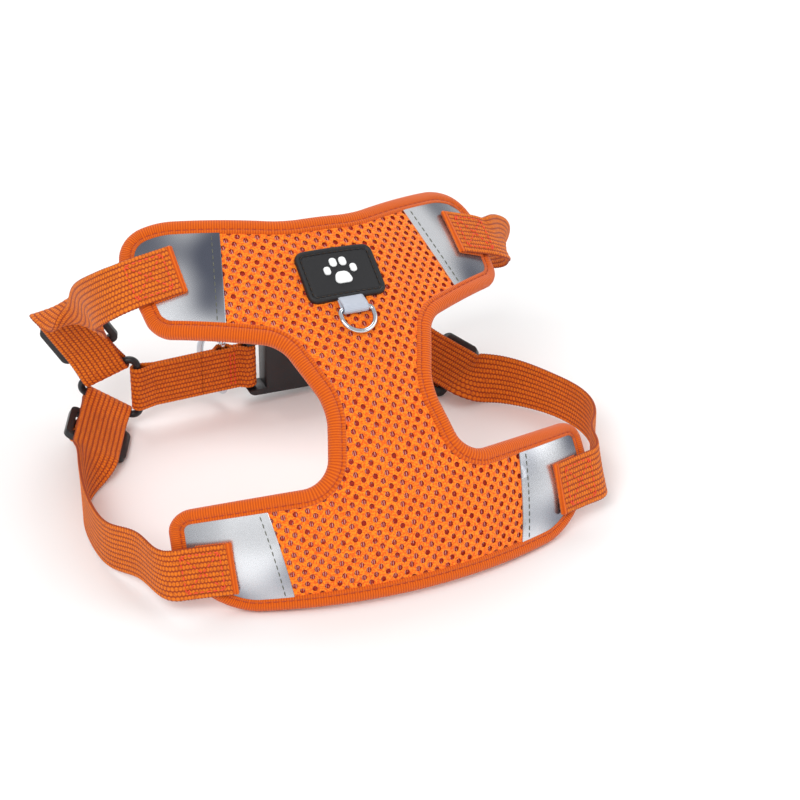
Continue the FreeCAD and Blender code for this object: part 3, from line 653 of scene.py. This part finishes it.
# %% Cut the film
PATCH_INSET, PATCH_BASE, PATCH_TOP = 5.5, 2.25, 2.62
SHARP_RIM = math.radians(30)
PANEL_MIDDLE = LATTICE_MIDDLE.to_3d()
ARMS = [(level, line, side, sign)
        for level, line in (("top", TOP_PATCH_LINE), ("bottom", BOTTOM_PATCH_LINE))
        for side, sign in (("left", -1), ("right", 1))]
for level, line, side, sign in ARMS:
    mesh, face = inner_face(PATCH_INSET, PATCH_BASE)
    (x0, y0), (x1, y1) = line
    run = Vector((sign * (x1 - x0), y1 - y0, 0))
    away = Vector((run.y, -run.x, 0)).normalized()
    away *= -1 if away.x * sign > 0 else 1
    past_middle = Vector((0, -1 if level == "top" else 1, 0))
    for point, normal in ((Vector((sign * x0, y0, 0)), away), (PANEL_MIDDLE, past_middle)):
        bmesh.ops.bisect_plane(mesh, geom=mesh.verts[:] + mesh.edges[:] + mesh.faces[:],
                               plane_co=point, plane_no=normal, clear_outer=True, dist=1e-4)
    face = max(mesh.faces, key=lambda f: f.calc_area())
    if face.normal.z < 0:
        face.normal_flip()
    build_up(mesh, face, [(0.05, PATCH_TOP - 0.12), (0.25, PATCH_TOP)], pitch=3.0)
    patch = finish_piece(f"film_{level}_{side}", mesh, film,
                         [f"reflective_patch_{level}_{side}"])
    patch.data.set_sharp_from_angle(angle=SHARP_RIM)

# %% [markdown]
# ## Stitches
# A stitch is a short length of thread that dives into the cloth at both ends, so a small
# squashed ball does for each. They are laid along a line on whatever surface `place`
# describes, so the same helper sews the panel, the label and the straps.

# %% Sew along a line
STITCH_GAP = 0.7


def stitch_line(mesh, place, line, height, long=1.9, thick=0.5, gap=STITCH_GAP):
    """Lay stitches along a flat line of points, end to end with a gap between them."""
    points = [Vector(point) for point in line]
    lengths = [(b - a).length for a, b in zip(points, points[1:])]
    total = sum(lengths)
    count = max(1, round(total / (long + gap)))
    for index in range(count):
        want = total * (index + 0.5) / count
        for start, finish, length in zip(points, points[1:], lengths):
            if want <= length:
                break
            want -= length
        run = (finish - start).normalized()
        x, y = start + run * min(want, length)
        middle = place(x, y, height)
        ahead = (place(x + run.x * 0.4, y + run.y * 0.4, height) - middle).normalized()
        _, _, outward = axes_of(place, x, y, height)
        beside = outward.cross(ahead).normalized()
        turn = Matrix((ahead, beside, ahead.cross(beside))).transposed().to_4x4()
        size = Matrix.Diagonal((long * MM / 2, thick * MM / 2, thick * MM / 2.4, 1.0))
        bmesh.ops.create_icosphere(mesh, subdivisions=2, radius=1.0,
                                   matrix=Matrix.Translation(middle) @ turn @ size)
    return count


def sew(name, finish, slot, place, lines, height, body=PANEL, **sizes):
    """One piece of sewing: a row of stitches along every line."""
    mesh = bmesh.new()
    count = sum(stitch_line(mesh, place, line, height, **sizes) for line in lines)
    finish_piece(name, mesh, finish, body=body)
    print(count, "stitches")


def inset_line(distance):
    """The outline moved inwards, as a closed flat line."""
    mesh, face = inner_face(distance, 0.0)
    line = [tuple(vert.co.xy) for vert in face.verts]
    mesh.free()
    return line + line[:1]


# %% Sew the tape and the film
seam = inset_line(4.8)
for name, height in (("tape_seam_front", 2.68), ("tape_seam_back", -2.42)):
    sew(name, rust_thread, "orange_binding", panel_point, [seam], height,
        long=1.9, thick=0.42, gap=0.9)

SEAM_FROM_EDGE, CLEAR_OF_TAPE = 3.2, 6.4
for level, line, side, sign in ARMS:
    (x0, y0), (x1, y1) = line
    row = []
    for share in np.linspace(0, 1, 80):
        x, y = sign * (x0 + (x1 - x0) * share + SEAM_FROM_EDGE), y0 + (y1 - y0) * share
        if along_outline(x, y)[1] > CLEAR_OF_TAPE:
            row.append((x, y))
    sew(f"film_seam_{level}_{side}", steel_thread, "silver_film", panel_point, [row],
        PATCH_TOP + 0.06, long=2.0, thick=0.45, gap=0.8)

# %% [markdown]
# ## The label
# A soft rubber label is moulded with a rounded rim, a sewing groove just inside it and a
# low field. It carries a plain paw print. All of it is one rounded rectangle stepped
# inwards, and the print is five small pads made the same way.

# %% Mould the label
LABEL_UP, LABEL_WIDE, LABEL_TALL = 124.0, 31.0, 22.0
LABEL_STEPS = [(0.05, 3.3), (0.3, 3.85), (0.75, 4.2), (1.2, 4.2), (1.55, 3.9), (1.75, 3.5),
               (2.45, 3.45), (2.65, 3.72), (2.95, 3.8)]
LABEL_CORNER, LABEL_BASE = 3.6, 2.3
half_wide, half_tall = LABEL_WIDE / 2, LABEL_TALL / 2


def oblong(x, y, reach, tall, corner):
    """The corners of a rounded rectangle round a middle point."""
    return [(x + reach, y - tall, corner), (x + reach, y + tall, corner),
            (x - reach, y + tall, corner), (x - reach, y - tall, corner)]


label_corners = oblong(0.0, LABEL_UP, half_wide, half_tall, LABEL_CORNER)
mesh, face = flat_shape(label_corners, LABEL_BASE, spacing=2.0, segments=8)
label_box = (-half_wide, half_wide, LABEL_UP - half_tall, LABEL_UP + half_tall)
build_up(mesh, face, LABEL_STEPS, pitch=3.0, box=label_box)
finish_piece("rubber_label", mesh, label_rubber, ["label_plate", "label_rim"])

mesh, face = flat_shape(label_corners, 0.0, spacing=2.0, segments=8)
groove = step_in(mesh, face, [(2.1, 0.0)])
groove_line = [tuple(vert.co.xy) for vert in groove.verts]
mesh.free()
sew("label_seam", label_thread, "black_pvc", panel_point, [groove_line + groove_line[:1]], 3.6,
    long=1.6, thick=0.4)

# %% Press the paw print
PAW_BASE, PAW_TOP = 3.7, 4.4
TOES = ((-5.2, 1.0, 1.35), (-1.9, 4.2, 1.45), (1.9, 4.2, 1.45), (5.2, 1.0, 1.35))
TOE_STRETCH, TOE_ROUND = 1.3, 0.88
mesh = bmesh.new()
low = LABEL_UP - 5.0
pads = [[(3.9, low, 1.7), (2.4, low + 5.0, 2.2), (-2.4, low + 5.0, 2.2), (-3.9, low, 1.7)]]
for x, y, reach in TOES:
    pads.append(oblong(x, LABEL_UP + y, reach, reach * TOE_STRETCH, reach * TOE_ROUND))
for corners in pads:
    part, face = flat_shape(corners, PAW_BASE, spacing=1.2, segments=5)
    build_up(part, face, [(0.08, PAW_TOP - 0.2), (0.3, PAW_TOP), (0.7, PAW_TOP + 0.06)])
    spare = bpy.data.meshes.new("pad")
    part.to_mesh(spare)
    part.free()
    mesh.from_mesh(spare)
    bpy.data.meshes.remove(spare)
finish_piece("paw_print", mesh, paw_rubber, ["paw_pad"] + [f"paw_toe_{n}" for n in range(1, 5)])

# %% [markdown]
# ## Strips of webbing
# Every woven strip is the same flat plate, laid along a line in space. The plate is a grid
# with a thickness; its middle line and the way its width lies are given as points, and each
# vertex is carried from its flat place to the line. The rows of beads are real bumps, and
# the rims are thinner and slightly scalloped, as a loom leaves them.

# %% Lay a strip along a line
WEB_WIDE, WEB_THICK = 20.0, 1.3
BEAD_RISE = 0.16


class Path:
    """A line in space for a strip: middle points and width directions, both in mm."""

    def __init__(self, points, wides):
        self.points = np.array([tuple(p) for p in points])
        self.wides = np.array([tuple(Vector(w).normalized()) for w in wides])
        gaps = np.linalg.norm(np.diff(self.points, axis=0), axis=1)
        self.stops = np.concatenate([[0.0], np.cumsum(gaps)])
        self.length = float(self.stops[-1])

    def at(self, values, along):
        return np.stack([np.interp(along, self.stops, column) for column in values.T], axis=-1)

    def lay(self, along, across, height):
        """Flat lengths in mm to points of the frame in metres."""
        along = np.asarray(along, float)
        middle = self.at(self.points, np.clip(along, 0, self.length))
        step = 0.6
        before = self.at(self.points, np.clip(along - step, 0, self.length))
        after = self.at(self.points, np.clip(along + step, 0, self.length))
        ahead = after - before
        ahead /= np.linalg.norm(ahead, axis=-1, keepdims=True)
        wide = self.at(self.wides, np.clip(along, 0, self.length))
        out = np.cross(ahead, wide)
        out /= np.linalg.norm(out, axis=-1, keepdims=True)
        wide = np.cross(out, ahead)
        spot = middle + wide * np.asarray(across)[..., None] + out * np.asarray(height)[..., None]
        return (spot - np.array(ORIGIN)) * MM

    def place(self, along, across, height):
        return Vector(self.lay(along, across, height))


def strip(name, path, finish, stands_for=(), body=PANEL, wide=WEB_WIDE,
          thick=WEB_THICK, woven_rows=True):
    """A flat strip along a path, with rounded rims and, for webbing, rows of beads."""
    pitch_along = BEAD_LONG / 4 if woven_rows else 0.5
    cells_along = max(4, round(path.length / pitch_along))
    cells_across = round(wide / (RIB_WIDE / 4 if woven_rows else 0.8))
    mesh = bmesh.new()
    bmesh.ops.create_grid(mesh, x_segments=cells_along, y_segments=cells_across, size=0.5)
    bmesh.ops.solidify(mesh, geom=mesh.faces[:], thickness=1.0)
    bmesh.ops.recalc_face_normals(mesh, faces=mesh.faces)
    data = bpy.data.meshes.new(name)
    mesh.to_mesh(data)
    mesh.free()
    flat = np.empty(len(data.vertices) * 3, np.float32)
    data.vertices.foreach_get("co", flat)
    flat = flat.reshape(-1, 3).astype(float)
    level = flat[:, 2] - (flat[:, 2].min() + flat[:, 2].max()) / 2
    level /= np.abs(level).max()
    along = (flat[:, 0] + 0.5) * path.length
    across = flat[:, 1] * wide
    rim = np.clip((wide / 2 - np.abs(across)) / (thick * 0.5), 0, 1)
    half = thick / 2 * (0.35 + 0.65 * np.sqrt(1 - (1 - rim) ** 2))
    if woven_rows:
        row = np.floor(across / RIB_WIDE)
        hump = np.cos((across / RIB_WIDE - row - 0.5) * np.pi)
        bead = 0.5 + 0.5 * np.cos((along / BEAD_LONG + row * 0.5) * 2 * np.pi)
        half = half + BEAD_RISE * (hump * (0.3 + 0.7 * bead) - 0.5)
        across = across * (1 + 0.008 * np.cos(along / BEAD_LONG * 2 * np.pi) * (rim < 0.3))
    placed = path.lay(along, across, level * half)
    data.vertices.foreach_set("co", placed.astype(np.float32).ravel())
    corners = np.empty(len(data.loops), np.int32)
    data.loops.foreach_get("vertex_index", corners)
    layer = data.uv_layers.new(name="flat")
    layer.data.foreach_set("uv", np.stack([along, across], -1)[corners].astype(np.float32).ravel())
    data.update()
    mesh = bmesh.new()
    mesh.from_mesh(data)
    bpy.data.meshes.remove(data)
    return finish_piece(name, mesh, finish, stands_for, body)


def smooth_line(points, stops, wanted):
    """A natural cubic spline through points at the given stops, read at `wanted`."""
    points, stops = np.array(points, float), np.array(stops, float)
    gaps = np.diff(stops)
    count = len(stops)
    system, right = np.eye(count), np.zeros((count, 3))
    for i in range(1, count - 1):
        system[i, i - 1:i + 2] = gaps[i - 1], 2 * (gaps[i - 1] + gaps[i]), gaps[i]
        right[i] = 6 * ((points[i + 1] - points[i]) / gaps[i]
                        - (points[i] - points[i - 1]) / gaps[i - 1])
    bends = np.linalg.solve(system, right)
    i = np.clip(np.searchsorted(stops, wanted) - 1, 0, count - 2)
    gap = gaps[i][:, None]
    left, ahead = (stops[i + 1] - wanted)[:, None], (wanted - stops[i])[:, None]
    return (bends[i] * left ** 3 + bends[i + 1] * ahead ** 3) / (6 * gap) \
        + (points[i] / gap - bends[i] * gap / 6) * left \
        + (points[i + 1] / gap - bends[i + 1] * gap / 6) * ahead


def arc(middle, radius, start, finish, steps=10):
    """Points on an arc, in a strip's side view; angles in degrees."""
    turns = [math.radians(start + (finish - start) * i / steps) for i in range(steps + 1)]
    return [(middle[0] + radius * math.cos(t), middle[1] + radius * math.sin(t)) for t in turns]


# %% [markdown]
# ## Where the straps run
# Each triangle stands on its upright bar, and its two slanted bars take a strap each. A
# strap starts folded under and sewn on its silver patch, crosses the tape, bends round in
# the air, passes its slider and turns round its bar. The free stations along it are the
# same numbers that the CAD solids were lofted through.

# %% The two triangles
BACK_DEPTH, BACK_HEIGHT = 150.5, 18.0
TRIANGLE_SIDE, TRIANGLE_WIRE = 30.0, 3.0
BAR_RADIUS = TRIANGLE_WIRE / 2 + 0.2 + WEB_THICK / 2
UP = Vector((0, 0, 1))


class Triangle:
    def __init__(self, side, sign, yaw):
        angle = math.radians(yaw)
        self.bar = Vector((side, BACK_DEPTH, BACK_HEIGHT))
        self.apex = Vector((sign * math.cos(angle), math.sin(angle), 0))
        self.facing = Vector((sign * math.sin(angle), -math.cos(angle), 0))

    def strap_bar(self, level):
        """The middle of a slanted bar, the way out from it, and the bar's own direction."""
        rise = UP if level == "top" else -UP
        middle = self.bar + self.apex * (TRIANGLE_SIDE * math.sqrt(3) / 4) \
            + rise * (TRIANGLE_SIDE / 4)
        out = (self.apex * 0.5 + rise * (math.sqrt(3) / 2)).normalized()
        lie = (self.apex * (math.sqrt(3) / 2) - rise * 0.5).normalized()
        return middle, out, lie


LEFT = Triangle(-57.0, -1, 25.0)
RIGHT = Triangle(50.0, 1, 18.0)

# Each strap: its triangle, which bar, the tilt it leaves at, the slider's distance, the side
# of the panel, how far up its end is sewn, and its free stations with their widths.
STRAPS = {
    "top_left": (LEFT, "top", 8.0, 19.0, -1, 141.0, [
        ((-86.7, 99, 91.8), (0, 0.8, 0.6)), ((-85.4, 118, 76.3), (-0.3, 0.85, 0.35)),
        ((-83.7, 137, 61.4), (-0.6, 0.75, -0.1))]),
    "top_right": (RIGHT, "top", 30.0, 19.0, 1, 141.0, [
        ((82.8, 108, 77.8), (0, 0.75, 0.66)), ((89, 117, 69.5), (0.35, 0.6, 0.5)),
        ((87.5, 128, 60), (0.7, 0.35, 0.1))]),
    "bottom_left": (LEFT, "bottom", 90.0, 20.0, -1, 22.0, [
        ((-93, 42, 15), (0, 0.1, 1)), ((-99, 56, 12), (0, 0, 1)), ((-101, 73, 10.8), (0, 0, 1)),
        ((-99, 91, 10.5), (0, 0, 1)), ((-93.5, 107, 10.3), (-0.2, 0.05, 1)),
        ((-89, 115, 10.2), (-0.45, 0.2, 0.85))]),
    "bottom_right": (RIGHT, "bottom", 90.0, 22.0, 1, 22.0, [
        ((94, 43.5, 14), (0, 0.1, 1)), ((100.5, 55, 12), (0, 0, 1)), ((105, 67, 11), (0, 0, 1)),
        ((104.6, 78.4, 10.6), (0, 0, 1)), ((99.8, 91, 10.5), (0, 0, 1)),
        ((91.3, 104, 10.4), (0.2, 0, 1)), ((83, 112, 10.2), (0.45, 0.1, 0.85))]),
}
# The sewn end's places on the panel: how far across, and how high above the padding's middle.
SEWN_PLACES = {
    "top": ((58.4, 4.25), (65, 4.45), (74, 5.1), (80, 5.15)),
    "bottom": ((67.5, 4.25), (74, 4.45), (83, 5.5), (88, 6.0)),
}
SLIDER_LONG, SLIDER_THICK, SLIDER_BAR, SLIDER_TRAVEL = 20.0, 2.6, 3.2, 6.0
FOLD = 12.0
TOWARD_FRONT = Vector((-0.35, -0.7, 0.6))
print(len(STRAPS), "straps")

# %% [markdown]
# ## The four straps
# A natural cubic spline runs through the stations. A second spline follows one rim of the
# strap, and the difference between the two gives the way its width lies, which turns the
# twists smoothly. At the triangle the strap wraps its bar and doubles back on itself.

# %% Weave the straps
def in_mm(point):
    return point / MM + ORIGIN


def strap_path(ring, level, tilt, slider_at, sign, up, free):
    middle, out, lie = ring.strap_bar(level)
    angle = math.radians(tilt)
    away = out * math.cos(angle) + ring.facing * math.sin(angle)
    stations = []
    for across, height in SEWN_PLACES[level]:
        rise = axes_of(panel_point, sign * across, up, height)[1]
        stations.append((in_mm(panel_point(sign * across, up, height)), rise))
    stations += [(Vector(point), Vector(wide)) for point, wide in free]
    reach = slider_at + SLIDER_LONG / 2 + SLIDER_TRAVEL
    run = [reach, reach - 4, slider_at + 4, slider_at - 2, FOLD + 0.4]
    stations += [(middle + away * distance, lie) for distance in run]
    points = [tuple(point) for point, _ in stations]
    rims = [tuple(point + wide.normalized() * (WEB_WIDE / 2)) for point, wide in stations]
    stops = np.concatenate([[0], np.cumsum(np.linalg.norm(np.diff(points, axis=0), axis=1))])
    wanted = np.arange(0, stops[-1], 0.8)
    line = smooth_line(points, stops, wanted)
    wides = smooth_line(rims, stops, wanted) - line
    normal = away.cross(lie).normalized()
    under = -normal if normal.dot(TOWARD_FRONT) > 0 else normal
    turn = [(9.0, 0.35), (6.0, 1.0), (3.0, 1.9), (1.2, BAR_RADIUS)]
    turn += arc((0, 0), BAR_RADIUS, 90, 270)
    turn += [(1.2, -BAR_RADIUS), (3.0, -1.9), (6.0, -1.25), (9.0, -1.1), (FOLD + 1, -1.1)]
    wrap = [middle + away * x - under * y for x, y in turn]
    path = Path([*line, *wrap], [*wides, *[lie] * len(wrap)])
    return path, middle, away, lie, under


straps = {}
for name, facts in STRAPS.items():
    straps[name] = strap_path(*facts)
    strip(f"webbing_{name}", straps[name][0], webbing_cloth,
          [f"strap_{name}", f"strap_fold_{name}"])

# %% [markdown]
# ## Sewn ends
# The cut end of each strap is tucked under, so that it can't fray, and a box with a cross
# in it holds it to the patch. The tuck is a second short strip that starts under the strap
# and meets it in a round fold, in the redder colour of the tape that binds it.

# %% Tuck and sew the ends
TUCK = 11.0
for name, (_, level, _, _, sign, up, _) in STRAPS.items():
    path = straps[name][0]
    at = SEWN_PLACES[level][0][0]
    rise = axes_of(panel_point, sign * at, up)[1]
    fold = [(at + TUCK, 3.2), (at + 5, 3.15), (at - 0.8, 3.15)]
    fold += [(at + x, 3.7 + z) for x, z in arc((-1.0, 0), 0.55, 270, 90, 6)]
    fold += [(at + 1.0, 4.25)]
    line = [in_mm(panel_point(sign * across, up, height)) for across, height in fold]
    tuck = Path(line, [rise] * len(line))
    strip(f"tuck_{name}", tuck, tape_weave, thick=1.0)

    flip = 1 if (path.place(5, 0, 1) - path.place(5, 0, -1)).dot(
        axes_of(panel_point, sign * at, up)[2]) > 0 else -1
    low, high, half = 2.6, 17.0, 7.3
    box = [(low, -half), (high, -half), (high, half), (low, half), (low, -half)]
    cross = [(low, -half), (high, half)], [(high, -half), (low, half)]

    def on_strap(x, y, height, path=path, flip=flip):
        return path.place(x, y, height * flip)

    sew(f"box_stitch_{name}", coral_thread, "orange_webbing", on_strap, [box, *cross],
        WEB_THICK / 2 + 0.22, long=1.7, thick=0.55, gap=0.75)

# %% [markdown]
# ## Slider loops
# The free end of each strap is sewn round the middle bar of its slider. The loop moves with
# the slider, so it is its own piece on the slider's body.

# %% Loop the webbing round each slider's bar
BAR_THINNED, LOOP_GAP, LOOP_THICK, STRAP_GAP = 0.4, 0.2, 1.1, 0.3
for name, (_, _, _, slider_at, *_) in STRAPS.items():
    _, middle, away, axis, under = straps[name]
    loop_top = SLIDER_THICK / 2 - BAR_THINNED + LOOP_GAP + LOOP_THICK
    centre = middle + away * slider_at + under * (WEB_THICK / 2 + STRAP_GAP + loop_top)
    reach, low, thin = SLIDER_BAR / 2 + 0.75, -SLIDER_THICK / 2 - 0.75, 1.0
    side = [(8.6, low - 0.1), (reach + 1.5, low - 0.1), (0, low), (-reach + 0.6, low)]
    side += arc((-reach + 0.6, low + 0.6), 0.6, 270, 180, 4)
    side += arc((-reach + 0.6, loop_top - 1.15), 0.6, 180, 90, 4)
    side += arc((reach - 0.6, loop_top - 1.15), 0.6, 90, 0, 4)
    side += arc((reach - 0.6, low + 0.9), 0.6, 0, -60, 4) + [(reach + 1.5, low + 0.2)]
    line = [centre + away * x - under * y for x, y in side]
    strip(f"loop_{name}", Path(line, [axis] * len(line)),
          webbing_cloth, [f"slider_loop_{name}"], f"slider_{name}",
          thick=thin)

# %% [markdown]
# ## The back strap
# Two short loops of webbing join the triangles to the buckle. The longer one also passes
# round the straight bar of the back ring. Its far end moves with the buckle's socket and
# its near end stays at the triangle, so it is left out of both bodies, with its shape baked in
# place.

# %% Close the two loops
BUCKLE_START, SOCKET_LONG, PLUG_LONG, BUCKLE_BAR = -11.5, 31.0, 15.5, 3.0
RING_FROM_BAR, RING_WIRE = 10.0, 2.8
BUCKLE_BAR_RADIUS = 2.3 + WEB_THICK / 2 - 0.15
SNUG = 19.4


def back_loop(start, finish, with_ring):
    """A closed loop round two upright bars, as a strip's path."""
    sign = 1 if finish > start else -1
    length = abs(finish - start)
    lap = WEB_THICK / 2 + 0.06
    neck = min(7.0, length * 0.42)
    front = [(neck, -lap), (length - 4.0, -lap), (length - 1.0, -BUCKLE_BAR_RADIUS + 0.1)]
    front = [(1.0, -BAR_RADIUS + 0.1), *front]
    back = [(length - 1.0, BUCKLE_BAR_RADIUS - 0.1), (length - 4.0, lap + 0.3)]
    if with_ring:
        ring_at = length - RING_FROM_BAR
        crown = RING_WIRE + 0.4 + WEB_THICK / 2
        back += [(ring_at + 3.6, lap + 0.5), (ring_at + 1.6, crown), (ring_at, crown + 0.25),
                 (ring_at - 1.6, crown), (ring_at - 4.4, lap + 0.2)]
    back += [(neck, lap), (1.0, BAR_RADIUS - 0.1)]
    seam = ((neck + length) / 2, -lap)
    side = [seam] + front[2:] + arc((length, 0), BUCKLE_BAR_RADIUS, -90, 90)
    side += back + arc((0, 0), BAR_RADIUS, 90, 270) + front[:2] + [(seam[0] - 0.2, seam[1])]
    line = [Vector((start + sign * x, BACK_DEPTH + y, BACK_HEIGHT)) for x, y in side]
    return Path(line, [(0, 0, 1)] * len(line))


socket_bar = BUCKLE_START + BUCKLE_BAR / 2
plug_bar = BUCKLE_START + SOCKET_LONG + 0.4 + PLUG_LONG - BUCKLE_BAR / 2
left_loop = back_loop(LEFT.bar.x, socket_bar, True)
left_web = strip("back_web_left", left_loop, webbing_cloth, ["back_strap_left"],
                 body=None, wide=SNUG)
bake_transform(left_web)
strip("back_web_right", back_loop(RIGHT.bar.x, plug_bar, False), webbing_cloth,
      ["back_strap_right"], wide=SNUG)


def on_back(x, y, height):
    """The back strap's front face: x runs across the dog, y up the webbing."""
    return (Vector((x, BACK_DEPTH - WEB_THICK - height, BACK_HEIGHT + y)) - ORIGIN) * MM


for side, places, body in (("left", (BUCKLE_START - 4.6, BUCKLE_START - 6.4), "buckle_socket"),
                           ("right", (RIGHT.bar.x - 6.8,), PANEL)):
    rows = [[(x, -7.5), (x, 7.5)] for x in places]
    sew(f"back_stitch_{side}", coral_thread, "orange_webbing", on_back, rows, 0.2, body,
        long=1.5, thick=0.6, gap=0.3)

# %% [markdown]
# ## Ribbon under the label
# A short satin ribbon comes from under the label, goes round the straight bar of the small
# ring and back under itself.

# %% Fold the ribbon
RING_UP, RING_HEIGHT = 108.0, 4.25
along_axis, up_axis, out_axis = axes_of(panel_point, 0, RING_UP, RING_HEIGHT)
pivot = in_mm(panel_point(0, RING_UP, RING_HEIGHT))
side = [(6.4, -0.95), (5.0, -0.5), (3.2, 0.4), (1.4, 1.25)] + arc((0, 0), 1.45, 90, 270)
side += [(2.0, -1.45), (6.0, -1.55)]
line = [pivot + up_axis * x + out_axis * y for x, y in side]
strip("satin_ribbon", Path(line, [along_axis] * len(line)),
      ribbon_satin, ["ring_tape"], wide=10.0, thick=0.6, woven_rows=False)

# %% [markdown]
# ## Moulded parts
# The CAD solids of the sliders and the buckle have the right shape but knife-sharp edges,
# which nothing moulded has. A copy of each is merged, its flat faces are joined again, and
# its sharp edges get a small round. The rings are round wire already, so they stay as they
# are and only get their finish.

# %% Round the moulded edges
def moulded(name, node, radius, body):
    mesh = bmesh.new()
    mesh.from_mesh(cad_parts[node].data)
    bmesh.ops.remove_doubles(mesh, verts=mesh.verts, dist=2e-6)
    bmesh.ops.dissolve_limit(mesh, angle_limit=math.radians(3), verts=mesh.verts,
                             edges=mesh.edges)
    sharp = [edge for edge in mesh.edges
             if edge.is_manifold and edge.calc_face_angle() > math.radians(35)]
    bmesh.ops.bevel(mesh, geom=sharp, offset=radius * MM, offset_type="OFFSET", segments=2,
                    profile=0.5, affect="EDGES", material=-1, clamp_overlap=True)
    piece = finish_piece(name, mesh, plastic, [node], body)
    piece.data.set_sharp_from_angle(angle=math.radians(40))
    return piece


moulded("socket_shell", "buckle_socket", 0.6, "buckle_socket")
moulded("plug_body", "buckle_plug", 0.5, PANEL)
for level in ("lower", "upper"):
    moulded(f"prong_{level}_arm", f"buckle_prong_{level}", 0.4, f"prong_{level}")
for name in STRAPS:
    moulded(f"slider_frame_{name}", f"slider_{name}", 0.5, f"slider_{name}")

for node, finish in (("front_ring", chrome), ("back_ring", chrome),
                     ("triangle_ring_left", plastic), ("triangle_ring_right", plastic)):
    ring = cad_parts[node]
    ring.data.materials.clear()
    ring.data.materials.append(finish.material)
print("moulded parts and rings are finished")

# %% [markdown]
# ## Floor, light and camera
# The harness stands on a plain pale floor under broad, soft lights, like a catalogue
# picture. The camera stands in front, to the left and above, and its long lens keeps the
# panel's proportions.

# %% Light the table
mesh = bmesh.new()
bmesh.ops.create_grid(mesh, x_segments=1, y_segments=1, size=4.0)
data = bpy.data.meshes.new("floor")
mesh.to_mesh(data)
mesh.free()
floor = bpy.data.objects.new("floor", data)
bpy.context.scene.collection.objects.link(floor)
paper = Finish("pale_paper")
paper.set(Base_Color=(0.92, 0.92, 0.92, 1.0), Roughness=0.9)
data.materials.append(paper.material)


def area_light(name, spot, aim, power, size):
    lamp = bpy.data.lights.new(name, "AREA")
    lamp.energy, lamp.size = power, size
    holder = bpy.data.objects.new(name, lamp)
    holder.location = spot
    holder.rotation_mode = "QUATERNION"
    holder.rotation_quaternion = (Vector(aim) - Vector(spot)).to_track_quat("-Z", "Y")
    bpy.context.scene.collection.objects.link(holder)


AIM = (0.0, 0.0, 0.05)
area_light("key", (-0.9, -1.0, 1.3), AIM, 18.0, 0.9)
area_light("fill", (1.3, -0.7, 0.9), AIM, 8.0, 1.2)
area_light("back", (0.2, 1.2, 1.3), AIM, 10.0, 1.0)
world = bpy.data.worlds.new("studio")
world.use_nodes = True
world.node_tree.nodes["Background"].inputs["Color"].default_value = (1.0, 1.0, 1.0, 1.0)
world.node_tree.nodes["Background"].inputs["Strength"].default_value = 0.58
bpy.context.scene.world = world
bpy.context.scene.view_settings.view_transform = "Standard"

# %% Set the camera
REFERENCE = Vector((-0.0022, -0.0832, -0.0033))
BACKWARD = Vector((-0.3226, -0.7419, 0.5878)).normalized()
RIGHTWARD = Vector((0.917, -0.399, 0.0)).normalized()
UPWARD = BACKWARD.cross(RIGHTWARD)
camera = bpy.data.objects.new("camera", bpy.data.cameras.new("camera"))
camera.data.lens, camera.data.sensor_width = 121.0, 36.0
camera.location = REFERENCE + BACKWARD * 1.0
look_at = REFERENCE + RIGHTWARD * -0.0063 + UPWARD * 0.0744
camera.rotation_mode = "QUATERNION"
camera.rotation_quaternion = (look_at - camera.location).to_track_quat("-Z", "Y")
bpy.context.scene.collection.objects.link(camera)
bpy.context.scene.camera = camera
